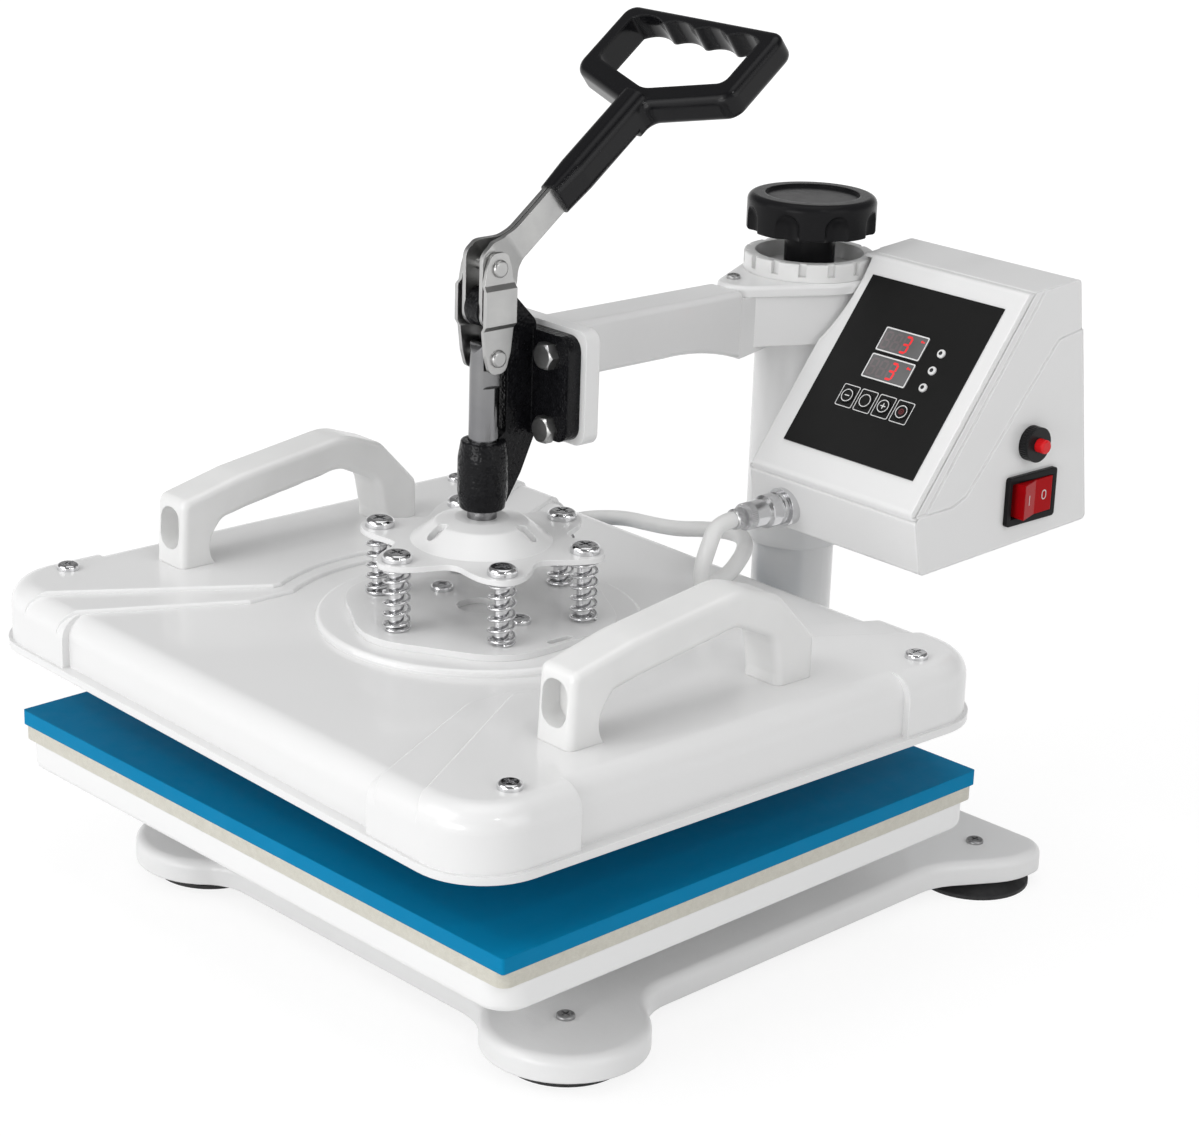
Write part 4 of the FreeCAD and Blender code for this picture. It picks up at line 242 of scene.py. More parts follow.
def moulded(name, colour, rough=(0.34, 0.48), grain=0.00004, coat=0.0, round_by=0.0005, shine=0.5):
    """Moulded plastic: fine spark grain, slow flow marks."""
    n = Nodes(name)
    n.edge(round_by)
    n.colour(n.drift(n.noise(22, 3), tint(colour, 0.92), colour))
    n.rough(n.noise(120, 4, 0.6), *rough)
    n.set(Specular_IOR_Level=shine)
    if coat:
        n.set(Coat_Weight=coat, Coat_Roughness=0.06)
    n.bump(n.noise(1600, 3, 0.6), grain)
    return n.mat


def wrinkle(name, colour):
    """Thick black paint over a rough casting: shiny skin over small pits and grains."""
    n = Nodes(name)
    n.edge(0.001)
    n.colour(n.drift(n.noise(300, 3), tint(colour, 0.7), tint(colour, 1.4)))
    n.rough(n.noise(500, 3), 0.1, 0.18)
    n.set(Specular_IOR_Level=0.15)
    n.bump(n.cells(640), 0.0003, 0.9)
    n.bump(n.noise(150, 4, 0.6), 0.0003, 0.7)
    return n.mat


def plated(name, bright, dark, rough, lines=(1, 1, 14), scratch=0.00002, ribs=None):
    """Plated or machined metal: fine drawn lines, uneven polish and a slight colour drift."""
    n = Nodes(name)
    n.edge(0.0004)
    drawn = n.noise(160, 5, 0.65, n.stretched(*lines))
    n.colour(n.drift(n.noise(26, 4, 0.55), dark, bright))
    n.rough(drawn, *rough)
    n.set(Metallic=1.0)
    n.bump(drawn, scratch)
    n.bump(n.noise(900, 2, 0.5), scratch * 0.5)
    if ribs:
        knurl(n, **ribs)
    return n.mat


def knurl(n, frame_at, count, z_from, z_to):
    """Ribs round a part between two heights along its axis."""
    wave, z = n.turned_ribs(frame_at, count)
    inside = n.math("MULTIPLY", n.math("GREATER_THAN", z, z_from), n.math("LESS_THAN", z, z_to))
    n.bump(n.math("MULTIPLY", wave, inside), 0.0003, 0.9)


def cast_metal(name, colour):
    n = Nodes(name)
    n.colour(n.drift(n.noise(60, 5, 0.6), tint(colour, 0.8), colour))
    n.rough(n.noise(200, 4), 0.38, 0.58)
    n.set(Metallic=1.0)
    n.bump(n.noise(520, 5, 0.7), 0.00015)
    return n.mat


def rubber(name, colour):
    n = Nodes(name)
    n.colour(n.drift(n.noise(70, 4), tint(colour, 0.75), tint(colour, 1.2)))
    n.rough(n.noise(260, 4), 0.55, 0.75)
    n.bump(n.noise(1100, 4, 0.7), 0.00008)
    return n.mat


def silicone_sheet(name, colour):
    """Cast silicone: a fine cloth texture from its mould, slight bloom on the surface."""
    n = Nodes(name)
    n.edge(0.0008)
    n.colour(n.drift(n.noise(14, 5, 0.6), tint(colour, 0.94), tint(colour, 1.04), (0.25, 0.75)))
    n.rough(n.noise(90, 4, 0.6), 0.5, 0.62)
    n.set(Specular_IOR_Level=0.08)
    n.bump(n.noise(1500, 2, 0.5), 0.00006)
    n.bump(n.noise(45, 3, 0.5), 0.0002, 0.4)
    return n.mat


def felted(name, colour, shade):
    """Needled felt: fibres lying every way, small tufts."""
    n = Nodes(name)
    tufts = n.noise(240, 6, 0.75, distort=0.6)
    fibres = n.noise(700, 5, 0.7, n.stretched(1, 1, 3), distort=1.2)
    base = n.drift(tufts, shade, colour)
    n.colour(n.mixed(n.ranged(fibres, 0.45, 0.75, 0, 0.4), base, tint(shade, 0.85)))
    n.set(Roughness=0.95, Sheen_Weight=0.35, Sheen_Roughness=0.6)
    n.bump(tufts, 0.0007, 0.9)
    n.bump(fibres, 0.0003, 0.9)
    return n.mat


def glassy(name, colour, rough=0.08, glow=None):
    """Clear or lit plastic under a hard gloss; glow is a colour and its strength."""
    n = Nodes(name)
    n.colour(n.drift(n.noise(40, 2), tint(colour, 0.8), colour))
    n.set(Coat_Weight=0.6, Coat_Roughness=0.03)
    n.rough(n.noise(150, 3), rough, rough + 0.08)
    if glow:
        n.set(Emission_Color=(*glow[0], 1), Emission_Strength=glow[1])
    n.bump(n.noise(600, 2), 0.00001)
    return n.mat


def knurled_black():
    n = Nodes("black_knurled_moulding")
    n.edge(0.0005)
    n.colour(n.drift(n.noise(22, 3), (0.010, 0.010, 0.011), (0.014, 0.014, 0.015)))
    n.rough(n.noise(120, 4, 0.6), 0.29, 0.4)
    n.set(Specular_IOR_Level=0.14)
    n.bump(n.noise(1600, 3, 0.6), 0.00004)
    knurl(n, **RESET_RIBS)
    return n.mat


# Ribs of the plug's ring and of the reset button's nut, along their own axes
PLUG_AT, RESET_AT = (0.055, -0.105, 0.209), (0.150, 0.019, 0.253)
PLUG_RIBS = {
    "frame_at": HEAD @ Matrix.Translation(PLUG_AT) @ Matrix.Rotation(math.radians(-90), 4, "X"),
    "count": 44, "z_from": 0.001, "z_to": 0.0128}
RESET_RIBS = {
    "frame_at": HEAD @ Matrix.Translation(RESET_AT) @ Matrix.Rotation(math.radians(90), 4, "Y"),
    "count": 40, "z_from": 0.0005, "z_to": 0.0045}

WHITE = (0.78, 0.78, 0.78)
# The lighter white is a painted highlight, laid along rounded edges of the enamel.
HIGHLIGHT_WHITE = (0.96, 0.96, 0.96)
PAINT = enamel("white_enamel", WHITE, highlight_colour=tint(HIGHLIGHT_WHITE, 0.95))
BOX_PAINT = enamel("white_enamel_on_sheet", WHITE, round_by=0.002, highlight_colour=HIGHLIGHT_WHITE)
# Castings get a rougher enamel with less coat; their white is lighter than WHITE as painted light,
# brightening parts that sit in shade low under the platen.
CAST_PAINT = enamel("white_enamel_on_casting", (0.83, 0.83, 0.83), (0.3, 0.4), peel=0.0001,
                    coat=0.25, round_by=0.001)
WHITE_PLASTIC = moulded("white_moulding", (0.80, 0.80, 0.795), (0.29, 0.38), 0.00003,
                        coat=0.3, round_by=0.001)
CRACKLE = wrinkle("black_cast_paint", (0.006, 0.006, 0.007))
BLACK_PLASTIC = moulded("black_moulding", (0.013, 0.013, 0.014), (0.16, 0.24), 0.00003,
                        round_by=0.0012, shine=0.07)
BLACK_SHINE = moulded("black_gloss_moulding", (0.006, 0.006, 0.007), (0.1, 0.16), 0.00001,
                      round_by=0.002, shine=0.22)
PANEL_FILM = moulded("panel_film", (0.012, 0.012, 0.012), (0.3, 0.4), 0.00001,
                     round_by=0.0002, shine=0.12)
KEY_FILM = moulded("key_film", (0.010, 0.010, 0.010), (0.29, 0.36), 0.00001,
                   round_by=0.0003, shine=0.15)
RUBBER = rubber("black_rubber", (0.012, 0.012, 0.013))
ZINC = plated("zinc_plate", (0.46, 0.46, 0.45), (0.34, 0.34, 0.35), (0.28, 0.42))
NICKEL = plated("nickel_plate", (0.54, 0.54, 0.53), (0.40, 0.40, 0.40), (0.28, 0.36))
STEEL = plated("ground_steel", (0.26, 0.26, 0.26), (0.19, 0.19, 0.20), (0.14, 0.22), (1, 1, 0.2))
CHROME = plated("chrome_plate", (0.74, 0.74, 0.75), (0.66, 0.66, 0.67), (0.08, 0.18))
PLUG_METAL = plated("chrome_plate_knurled", (0.66, 0.66, 0.67), (0.56, 0.56, 0.57), (0.14, 0.26),
                    ribs=PLUG_RIBS)
ALUMINIUM = cast_metal("cast_aluminium", (0.62, 0.62, 0.63))
BRASS = plated("brass", (0.72, 0.5, 0.2), (0.6, 0.4, 0.16), (0.28, 0.4))
SILICONE = silicone_sheet("blue_silicone", (0.0, 0.21, 0.42))
FELT = felted("cream_felt", (0.70, 0.68, 0.60), (0.60, 0.58, 0.50))
WOOL = felted("mineral_wool", (0.62, 0.56, 0.40), (0.5, 0.43, 0.28))
BOARD = moulded("board_laminate", (0.02, 0.14, 0.05), (0.3, 0.45))
RED = moulded("red_moulding", (0.70, 0.012, 0.016), (0.14, 0.24), 0.00002,
              round_by=0.0006, shine=0.25)
RED_GLASS = moulded("red_translucent_moulding", (0.42, 0.004, 0.007), (0.1, 0.18), 0.00002,
                    round_by=0.0007, shine=0.04)
DISPLAY = glassy("display_lens", (0.15, 0.148, 0.15), 0.14)
LAMP = glassy("lamp_rim", (0.74, 0.74, 0.74), 0.2)
LAMP_GLASS = glassy("lamp_glass", (0.03, 0.03, 0.032))
LIT = glassy("lit_segment", (0.80, 0.035, 0.04), 0.2, glow=((1.0, 0.05, 0.06), 0.25))
UNLIT = glassy("unlit_segment", (0.19, 0.165, 0.17), 0.14)
PRINT = moulded("white_print", (0.78, 0.78, 0.78), (0.4, 0.5), 0.00001)
DARK_RED = moulded("dark_red_print", (0.13, 0.012, 0.016), (0.35, 0.5), 0.00001)
SHEATH = moulded("cord_sheath", (0.74, 0.74, 0.735), (0.32, 0.46), 0.00005)

LOOKS = {
    CAST_PAINT: "base_casting support_posts platen_frame lower_platen",
    PAINT: "column_tube swivel_sleeve swivel_housing housing_cap arm mounting_plate spring_plate "
           "star_plate heat_cover box_rear_cover box_bracket",
    BOX_PAINT: "box_shell",
    WHITE_PLASTIC: "index_ring cover_handles cord_grommet",
    CRACKLE: "clamp_casting",
    BLACK_PLASTIC: "adjust_knob rocker_bezel mains_gland",
    KEY_FILM: "key_minus key_set key_plus key_start",
    knurled_black(): "reset_nut",
    BLACK_SHINE: "handle_grip",
    PANEL_FILM: "panel_overlay",
    RUBBER: "rubber_feet",
    ZINC: "foot_screws support_bolts platen_screws column_nut thrust_collar clamp_bolts spindle "
          "head_screws",
    NICKEL: "handle_lever link_plates lever_pin pivot_pin",
    STEEL: "plunger_rod",
    CHROME: "cover_screws shoulder_screws springs aviation_socket",
    PLUG_METAL: "aviation_plug",
    ALUMINIUM: "heating_plate",
    BRASS: "heating_element",
    SILICONE: "silicone_pad",
    FELT: "felt_pad",
    WOOL: "insulation",
    BOARD: "control_board",
    RED: "reset_button",
    RED_GLASS: "rocker",
    DISPLAY: "display_windows",
    LAMP: "led_lamps",
    SHEATH: "cord",
}


def dress(obj, mat):
    obj.data.materials.clear()
    obj.data.materials.append(mat)


for look, names in LOOKS.items():
    for node_name in names.split():
        dress(NODES[node_name], look)


# Mesh helpers
def make_object(name, data, mat):
    obj = bpy.data.objects.new(name, data)
    bpy.context.scene.collection.objects.link(obj)
    dress(obj, mat)
    return obj


class Sheet:
    """Collects thin raised shapes drawn on a flat face, in millimetres."""

    def __init__(self, z, thick):
        self.z, self.thick = z, thick
        self.verts, self.faces = [], []

    def ring(self, outer, inner):
        """The band between two loops of as many points each."""
        n, base = len(outer), len(self.verts)
        for z in (self.z, self.z + self.thick):
            self.verts += [(x, y, z) for x, y in outer]
            self.verts += [(x, y, z) for x, y in inner]
        for i in range(n):
            j = (i + 1) % n
            a, b = base + i, base + j
            self.faces += [(a + 2 * n, b + 2 * n, b + 3 * n, a + 3 * n), (b, a, a + n, b + n),
                           (a, b, b + 2 * n, a + 2 * n), (b + n, a + n, a + 3 * n, b + 3 * n)]

    def fill(self, loop):
        n, base = len(loop), len(self.verts)
        self.verts += [(x, y, self.z) for x, y in loop]
        self.verts += [(x, y, self.z + self.thick) for x, y in loop]
        self.faces.append(tuple(range(base + n, base + 2 * n)))
        self.faces.append(tuple(reversed(range(base, base + n))))
        for i in range(n):
            j = (i + 1) % n
            self.faces.append((base + i, base + j, base + n + j, base + n + i))

    def piece(self, name, mat, body, place, slot):
        """One piece of all the shapes, put in place by a frame and carried by a body."""
        mesh = bpy.data.meshes.new(name)
        mesh.from_pydata([place @ (Vector(v) * MM) for v in self.verts], [], self.faces)
        mesh.validate()
        mesh.update()
        obj = make_object(name, mesh, mat)
        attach(obj, body)


def round_loop(cx, cy, hx, hy, r, steps=5):
    """A rectangle's loop with rounded corners, anticlockwise."""
    out = []
    for k, (sx, sy) in enumerate(((1, 1), (-1, 1), (-1, -1), (1, -1))):
        for i in range(steps + 1):
            t = math.radians(90 * k + 90 * i / steps)
            out.append((cx + sx * (hx - r) + r * math.cos(t), cy + sy * (hy - r) + r * math.sin(t)))
    return out


def circle_loop(cx, cy, r, steps=32):
    return [(cx + r * math.cos(2 * math.pi * i / steps), cy + r * math.sin(2 * math.pi * i / steps))
            for i in range(steps)]


# Cord
CORD_ROUTE = [(55.0, -105.0, 209.0), (55.0, -116.5, 209.0), (57.0, -124.0, 198.0),
              (54.0, -125.5, 185.0), (48.5, -119.0, 171.3), (45.0, -108.0, 170.6),
              (45.0, -96.0, 173.5), (44.5, -86.0, 181.5), (38.5, -77.0, 185.0),
              (24.0, -66.5, 184.5), (-1.0, -56.5, 178.5), (-26.0, -49.5, 171.0),
              (-50.0, -43.5, 163.5), (-73.0, -35.5, 157.5), (-93.0, -28.0, 152.5),
              (-111.5, -25.5, 149.8), (-124.5, -32.5, 148.5), (-132.0, -45.5, 148.0),
              (-132.0, -61.0, 148.0)]
CORD_R = 0.0045


def route_mesh(points, bevel):
    """The route's smooth line, or with a bevel the tube round it, as a mesh."""
    curve = bpy.data.curves.new("route", "CURVE")
    curve.dimensions = "3D"
    curve.resolution_u = 10
    spline = curve.splines.new("NURBS")
    spline.points.add(len(points) - 1)
    for p, co in zip(spline.points, points):
        p.co = (*co, 1)
    spline.order_u = 3
    spline.use_endpoint_u = True
    if bevel:
        curve.bevel_depth = bevel
        curve.bevel_resolution = 7
        curve.use_fill_caps = True
    obj = bpy.data.objects.new("route", curve)
    bpy.context.scene.collection.objects.link(obj)
    bpy.context.view_layer.update()
    mesh = bpy.data.meshes.new_from_object(obj.evaluated_get(bpy.context.evaluated_depsgraph_get()))
    bpy.data.objects.remove(obj)
    return mesh


def make_cord():
    points = [HEAD @ (Vector(p) * MM) for p in CORD_ROUTE]
    path = [v.co.copy() for v in route_mesh(points, 0).vertices]
    mesh = route_mesh(points, CORD_R)
    mesh.shade_smooth()
    obj = make_object("power_cord", mesh, SHEATH)
    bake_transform(obj)
    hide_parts("cord")


make_cord()


# Springs of the star plate
SCREW_Y, SCREW_CIRCLE_R = -231.3, 55.8
SCREW_COUNT, SCREW_ANGLE_0 = 6, 31.2
SPRING_LOW, SPRING_HIGH = 172.5, 205.9
COIL_R, WIRE_R = 6.45, 0.9
TURNS, DEAD_TURN = 6.75, 1.85
COIL_STEPS, WIRE_SIDES = 24, 10


def coil_height(t):
    """Height of the wire after t turns: a closed turn at each end, an even pitch between."""
    low, high = SPRING_LOW + WIRE_R, SPRING_HIGH - WIRE_R
    if t < 1:
        return low + DEAD_TURN * t * t
    if t > TURNS - 1:
        return high - DEAD_TURN * (TURNS - t) ** 2
    share = (t - 1) / (TURNS - 2)
    return low + DEAD_TURN + share * (high - low - 2 * DEAD_TURN)


def make_springs():
    verts, faces = [], []
    steps = int(TURNS * COIL_STEPS)
    for k in range(SCREW_COUNT):
        place = math.radians(SCREW_ANGLE_0 + 360 / SCREW_COUNT * k)
        cx = SCREW_CIRCLE_R * math.cos(place)
        cy = SCREW_Y + SCREW_CIRCLE_R * math.sin(place)
        base = len(verts)
        for i in range(steps + 1):
            t = TURNS * i / steps
            a = 2 * math.pi * t + place
            z = coil_height(t)
            for j in range(WIRE_SIDES):
                w = 2 * math.pi * j / WIRE_SIDES
                r = COIL_R + WIRE_R * math.cos(w)
                verts.append((cx + r * math.cos(a), cy + r * math.sin(a), z + WIRE_R * math.sin(w)))
        for i in range(steps):
            for j in range(WIRE_SIDES):
                m = (j + 1) % WIRE_SIDES
                a, b = base + i * WIRE_SIDES, base + (i + 1) * WIRE_SIDES
                faces.append((a + j, b + j, b + m, a + m))
        faces.append(tuple(range(base, base + WIRE_SIDES)))
        end = base + steps * WIRE_SIDES
        faces.append(tuple(reversed(range(end, end + WIRE_SIDES))))
    mesh = bpy.data.meshes.new("coiled_springs")
    mesh.from_pydata([HEAD @ (Vector(v) * MM) for v in verts], [], faces)
    mesh.shade_smooth()
    obj = make_object("coiled_springs", mesh, CHROME)
    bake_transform(obj)
    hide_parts("springs")


make_springs()


# Marks on the control panel, in millimetres up the slope from its foot
FILM_Z, GLASS_Z, KEY_Z, LAMP_Z = 0.8, 1.6, 1.6, 2.0
PRINT_T, PRINT_SINK = 0.05, 0.01
PANEL_MID, PANEL_HALF, PANEL_ROUND = (91.5, 68.5), (46.5, 51.5), 3.0
WINDOW_X, WINDOW_HALF_W, WINDOW_ROUND = 88.3, 15.4, 1.0
WINDOW_S = ((79.2, 93.4), (62.8, 77.2))
FRAME_W, FRAME_ROUND = 0.75, 0.6
DIGIT_W, DIGIT_H, SEGMENT = 5.5, 10.6, 1.35
SEGMENT_GAP, DIGIT_SLANT = 0.12, 0.06
DIGIT_AT, DIGIT_DROP = 2.5, 0.2
GHOSTS = (-11.0, -4.3)
WINDOW_DOTS = ((11.6, 3.9, 0.75), (13.0, 3.7, 0.55))
KEYS = {"minus_key": 71.0, "set_key": 84.0, "plus_key": 97.0, "start_key": 110.0}
KEY_S = 50.3
KEY_FRAME_OUT, KEY_FRAME_IN = (5.8, 6.5, 1.0), (5.35, 6.05, 0.7)
KEY_RING_OUT, KEY_RING_IN = 3.72, 3.25
SIGN_LONG, SIGN_THICK, SIGN_ROUND = 1.7, 0.28, 0.1
PLUS_ARM, PLUS_ARM_AT = 0.72, 1.0
START_RING_OUT, START_RING_IN, START_DOT = 1.7, 1.0, 0.6
LAMPS, LAMP_X, LAMP_R = (86.9, 76.6, 66.3), 115.0, 1.15


def segment(cx, cy, half, thick, upright):
    """One bar of a digit, pointed at both ends."""
    t = thick / 2
    loop = [(half, 0), (half - t, t), (-half + t, t), (-half, 0), (-half + t, -t), (half - t, -t)]
    if upright:
        return [(cx - y, cy + x) for x, y in loop]
    return [(cx + x, cy + y) for x, y in loop]


def digit(sheet, cx, cy, lit):
    """Adds the lettered bars of a seven-bar digit to a sheet."""
    w, h = DIGIT_W / 2 - SEGMENT / 2, DIGIT_H / 2 - SEGMENT / 2
    bars = {"a": (0, h, 0), "g": (0, 0, 0), "d": (0, -h, 0),
            "b": (w, h / 2, 1), "c": (w, -h / 2, 1), "f": (-w, h / 2, 1), "e": (-w, -h / 2, 1)}
    for key in lit:
        x, y, up = bars[key]
        half = (h / 2 if up else w) - SEGMENT_GAP
        bar = segment(cx + x, cy + y, half, SEGMENT, up)
        sheet.fill([(px + DIGIT_SLANT * (py - cy), py) for px, py in bar])


def make_panel_corners():
    """Fills the film's rounded corners up to the square ones of the real film."""
    film = Sheet(0.0, FILM_Z)
    for k, (sx, sy) in enumerate(((1, 1), (-1, 1), (-1, -1), (1, -1))):
        tip = (PANEL_MID[0] + sx * PANEL_HALF[0], PANEL_MID[1] + sy * PANEL_HALF[1])
        mid = (tip[0] - sx * PANEL_ROUND, tip[1] - sy * PANEL_ROUND)
        turns = [math.radians(90 * (k + 1) - 15 * i) for i in range(7)]
        film.fill([tip] + [(mid[0] + PANEL_ROUND * math.cos(t), mid[1] + PANEL_ROUND * math.sin(t))
                           for t in turns])
    film.piece("panel_corners", PANEL_FILM, "head", SLOPE, "black_plastic")


def make_windows():
    frames, lit = Sheet(GLASS_Z - PRINT_SINK, PRINT_T), Sheet(GLASS_Z - PRINT_SINK, PRINT_T)
    unlit = Sheet(GLASS_Z - 1.5 * PRINT_SINK, PRINT_T)
    for s0, s1 in WINDOW_S:
        s, half = 0.5 * (s0 + s1), 0.5 * (s1 - s0)
        frames.ring(round_loop(WINDOW_X, s, WINDOW_HALF_W, half, WINDOW_ROUND),
                    round_loop(WINDOW_X, s, WINDOW_HALF_W - FRAME_W, half - FRAME_W, FRAME_ROUND))
        digit(lit, WINDOW_X + DIGIT_AT, s - DIGIT_DROP, "abgcd")
        for x in GHOSTS:
            digit(unlit, WINDOW_X + x, s - DIGIT_DROP, "abcdefg")
        digit(unlit, WINDOW_X + DIGIT_AT, s - DIGIT_DROP, "ef")
        for x, up, r in WINDOW_DOTS:
            lit.fill(circle_loop(WINDOW_X + x, s + up, r, 16))
    frames.piece("window_frames", PRINT, "head", SLOPE, "display")
    lit.piece("lit_digits", LIT, "head", SLOPE, "display")
    unlit.piece("unlit_digits", UNLIT, "head", SLOPE, "display")


def make_key_marks():
    squares = Sheet(FILM_Z - PRINT_SINK, PRINT_T)
    for x in KEYS.values():
        squares.ring(round_loop(x, KEY_S, *KEY_FRAME_OUT), round_loop(x, KEY_S, *KEY_FRAME_IN))
    squares.piece("key_frames", PRINT, "head", SLOPE, "black_plastic")
    for body, x in KEYS.items():
        mark = Sheet(KEY_Z - PRINT_SINK, PRINT_T)
        mark.ring(circle_loop(x, KEY_S, KEY_RING_OUT), circle_loop(x, KEY_S, KEY_RING_IN))
        if body in ("minus_key", "plus_key"):
            mark.fill(round_loop(x, KEY_S, SIGN_LONG, SIGN_THICK, SIGN_ROUND, 2))
        if body == "plus_key":
            for side in (1, -1):
                mark.fill(round_loop(x, KEY_S + side * PLUS_ARM_AT, SIGN_THICK, PLUS_ARM, SIGN_ROUND, 2))
        mark.piece(body + "_mark", PRINT, body, SLOPE, "black_plastic")
    x = KEYS["start_key"]
    icon = Sheet(KEY_Z - PRINT_SINK, PRINT_T)
    icon.ring(circle_loop(x, KEY_S, START_RING_OUT), circle_loop(x, KEY_S, START_RING_IN))
    icon.fill(circle_loop(x, KEY_S, START_DOT))
    icon.piece("start_key_icon", DARK_RED, "start_key", SLOPE, "red_plastic")


def make_lamp_centres():
    glass = Sheet(LAMP_Z - PRINT_SINK, PRINT_T)
    for s in LAMPS:
        glass.fill(circle_loop(LAMP_X, s, LAMP_R))
    glass.piece("lamp_centres", LAMP_GLASS, "head", SLOPE, "lamp")


make_panel_corners()
make_windows()
make_key_marks()
make_lamp_centres()


# Marks on the rocker, which is tilted in its frame
ROCKER_AT = Vector((152.5, 21.0, 223.0)) * MM
ROCKER_DEEP = 7.0 * MM
ROCKER_TILT = 10.0
ROCKER_HALF, ROCKER_PEAK, ROCKER_DIP = 14.0, 3.0, 1.0
MARK_AT, MARK_TALL = 0.6, 2.7
OFF_WIDE, OFF_BAND, ON_WIDE, ON_ROUND = 1.9, 0.6, 0.35, 0.15


def rocker_face(side):
    """Frame on one half of the rocker: X along the face to the rear, Y up, Z out of it."""
    rise = side * (ROCKER_PEAK - ROCKER_DIP)
    along = Vector((rise, ROCKER_HALF, 0)).normalized()
    out = along.cross(Vector((0, 0, 1)))
    at = ROCKER_AT + Vector((0.5 * (ROCKER_PEAK + ROCKER_DIP), side * 0.5 * ROCKER_HALF, 0)) * MM
    face = Matrix((
        (along.x, 0, out.x, at.x),
        (along.y, 0, out.y, at.y),
        (0, 1, 0, at.z),
        (0, 0, 0, 1)))
    pivot = Matrix.Translation(ROCKER_AT - Vector((ROCKER_DEEP, 0, 0)))
    tilt = Matrix.Rotation(math.radians(ROCKER_TILT), 4, "Z")
    return HEAD @ pivot @ tilt @ pivot.inverted() @ face


def make_rocker_marks():
    off = Sheet(-PRINT_SINK, PRINT_T)
    off.ring(*(round_loop(MARK_AT, 0, OFF_WIDE - band, MARK_TALL - band, OFF_WIDE - band - PRINT_SINK, 10)
               for band in (0, OFF_BAND)))
    off.piece("rocker_off_mark", PRINT, "rocker", rocker_face(1), "red_plastic")
    on = Sheet(-PRINT_SINK, PRINT_T)
    on.fill(round_loop(-MARK_AT, 0, ON_WIDE, MARK_TALL, ON_ROUND, 2))
    on.piece("rocker_on_mark", PRINT, "rocker", rocker_face(-1), "red_plastic")


make_rocker_marks()


# Floor, lamps and world
FLOOR_R, FLOOR_STEPS = 12, 96
FLOOR_PLAIN, FLOOR_SEEN = (0.75, 0.75, 0.75, 1), (0.22, 0.22, 0.22, 1)
FLOOR_FADE = (0.5, 2.4, 0.83, 1.0)
WHITE_LIGHT = (1, 1, 1, 1)
# Light by height, from the horizon up: what falls on the object, and what gloss reflects
SKY_LIGHT = (-0.05, 0.75, 0.36, 0.5)
SKY_GLOSS = (0.02, 0.36, 1.0, 0.2)


def new_nodes(tree, *kinds):
    return [tree.nodes.new("ShaderNode" + kind) for kind in kinds]


def wire(tree, *pairs):
    for output, target in pairs:
        tree.links.new(output, target)


def larger(tree, first, second):
    node, = new_nodes(tree, "Math")
    node.operation = "MAXIMUM"
    wire(tree, (first, node.inputs[0]), (second, node.inputs[1]))
    return node.outputs[0]


def seen_rays(tree, path):
    """1 for the rays that look at the background: straight, mirrored or through glass."""
    rays = larger(tree, path.outputs["Is Camera Ray"], path.outputs["Is Glossy Ray"])
    return larger(tree, rays, path.outputs["Is Transmission Ray"])


def make_floor():
    """White paper that keeps the object's shadow and fades to plain white far away."""
    turns = [2 * math.pi * i / FLOOR_STEPS for i in range(FLOOR_STEPS)]
    mesh = bpy.data.meshes.new("floor")
    mesh.from_pydata([(FLOOR_R * math.cos(t), FLOOR_R * math.sin(t), 0) for t in turns], [],
                     [tuple(range(FLOOR_STEPS))])
    mat = bpy.data.materials.new("floor_paper")
    mat.use_nodes = True
    tree = mat.node_tree
    tree.nodes.clear()
    out, blend, both, path = new_nodes(tree, "OutputMaterial", "MixShader", "AddShader", "LightPath")
    plain, seen, glow = new_nodes(tree, "BsdfDiffuse", "BsdfDiffuse", "Emission")
    place, far = new_nodes(tree, "TexCoord", "VectorMath")
    for node, colour in ((plain, FLOOR_PLAIN), (seen, FLOOR_SEEN), (glow, WHITE_LIGHT)):
        node.inputs[0].default_value = colour
    far.operation = "LENGTH"
    wire(tree, (place.outputs["Object"], far.inputs[0]))
    wire(tree, (ranged(tree, far.outputs["Value"], FLOOR_FADE), glow.inputs["Strength"]),
         (seen.outputs[0], both.inputs[0]), (glow.outputs[0], both.inputs[1]),
         (seen_rays(tree, path), blend.inputs[0]),
         (plain.outputs[0], blend.inputs[1]), (both.outputs[0], blend.inputs[2]),
         (blend.outputs[0], out.inputs[0]))
    make_object("floor", mesh, mat)


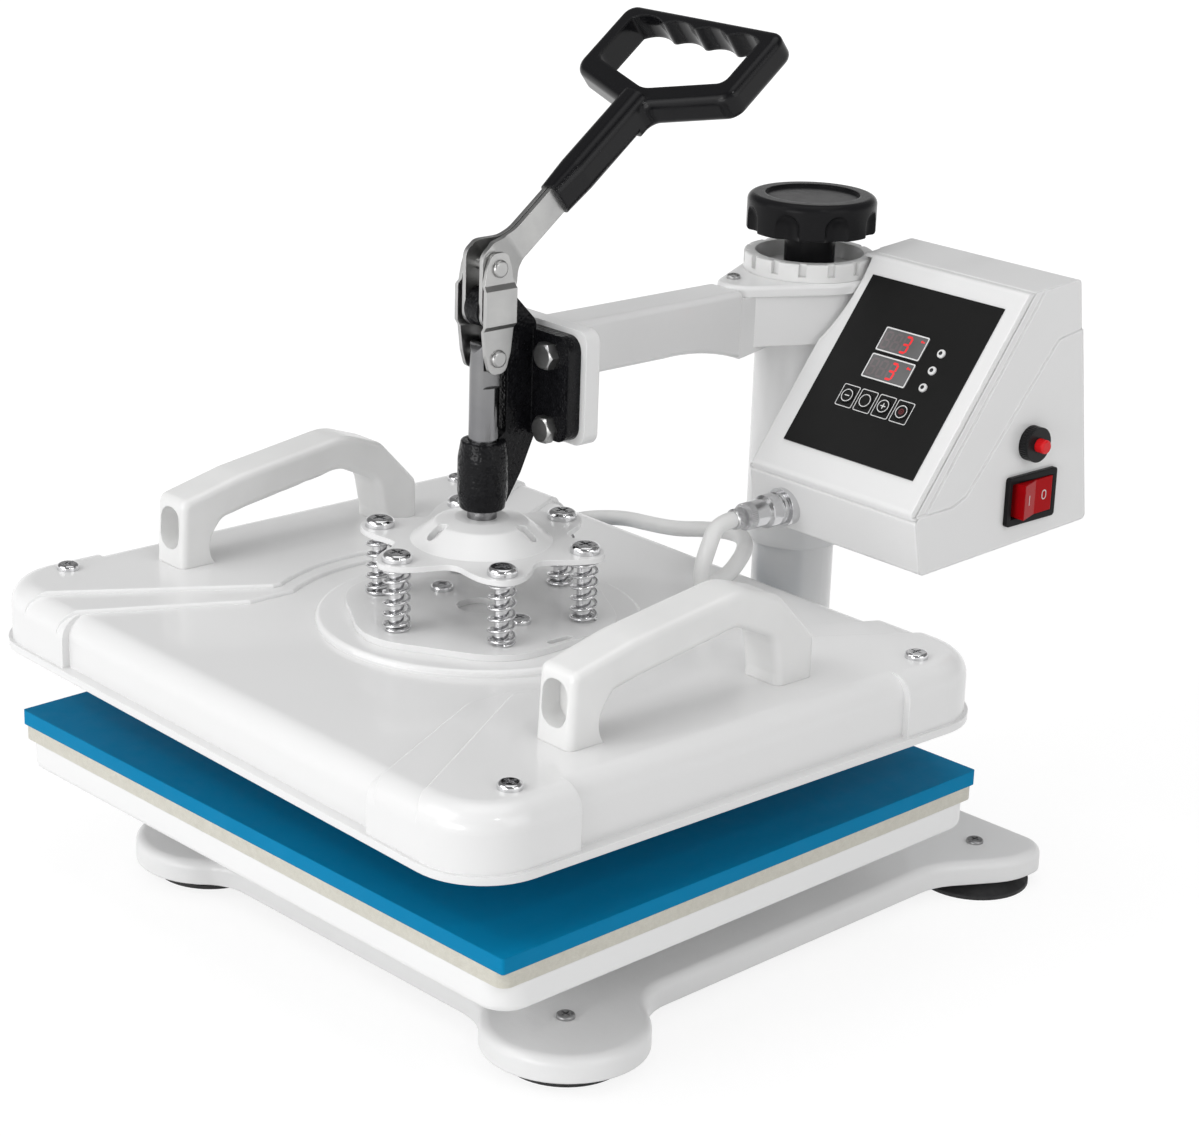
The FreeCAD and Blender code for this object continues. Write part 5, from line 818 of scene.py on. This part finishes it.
def make_world():
    """Soft light all round, darker towards the horizon as between the lamps of a studio."""
    world = bpy.data.worlds.new("studio")
    bpy.context.scene.world = world
    world.use_nodes = True
    tree = world.node_tree
    tree.nodes.clear()
    out, mix, path = new_nodes(tree, "OutputWorld", "MixShader", "LightPath")
    soft, bright = new_nodes(tree, "Background", "Background")
    place, split = new_nodes(tree, "TexCoord", "SeparateXYZ")
    for node in (soft, bright):
        node.inputs["Color"].default_value = WHITE_LIGHT
    wire(tree, (place.outputs["Generated"], split.inputs[0]))
    height = split.outputs["Z"]
    gloss = larger(tree, path.outputs["Is Camera Ray"], ranged(tree, height, SKY_GLOSS))
    wire(tree, (ranged(tree, height, SKY_LIGHT), soft.inputs["Strength"]),
         (gloss, bright.inputs["Strength"]), (seen_rays(tree, path), mix.inputs[0]),
         (soft.outputs[0], mix.inputs[1]), (bright.outputs[0], mix.inputs[2]),
         (mix.outputs[0], out.inputs[0]))


def area_lamp(name, at, to, size, watts):
    data = bpy.data.lights.new(name, "AREA")
    data.shape = "RECTANGLE"
    data.size, data.size_y = size
    data.energy = watts
    lamp = bpy.data.objects.new(name, data)
    lamp.location = at
    lamp.rotation_mode = "QUATERNION"
    lamp.rotation_quaternion = (Vector(to) - Vector(at)).to_track_quat("-Z", "Y")
    bpy.context.scene.collection.objects.link(lamp)


# Name, place, aim, size and watts of each lamp
STUDIO = (
    ("key", (-0.9, -2.2, 1.7), (0, 0, 0.2), (2.4, 2.0), 26),
    ("fill", (2.4, 0.2, 1.2), (0, 0, 0.25), (1.5, 1.5), 11),
    ("front", (0.4, -2.9, 0.45), (0, 0.1, 0.25), (1.8, 0.8), 23),
    ("glint_left", (-0.5, -1.9, 1.9), (0, 0, 0.3), (0.16, 0.16), 4),
    ("glint_right", (1.9, -0.7, 1.9), (0, 0, 0.3), (0.16, 0.16), 4),
    ("top", (0.1, 0.1, 2.4), (0, 0, 0), (1.8, 1.8), 11))

make_floor()
make_world()
for lamp_row in STUDIO:
    area_lamp(*lamp_row)
bpy.context.scene.view_settings.view_transform = "Standard"
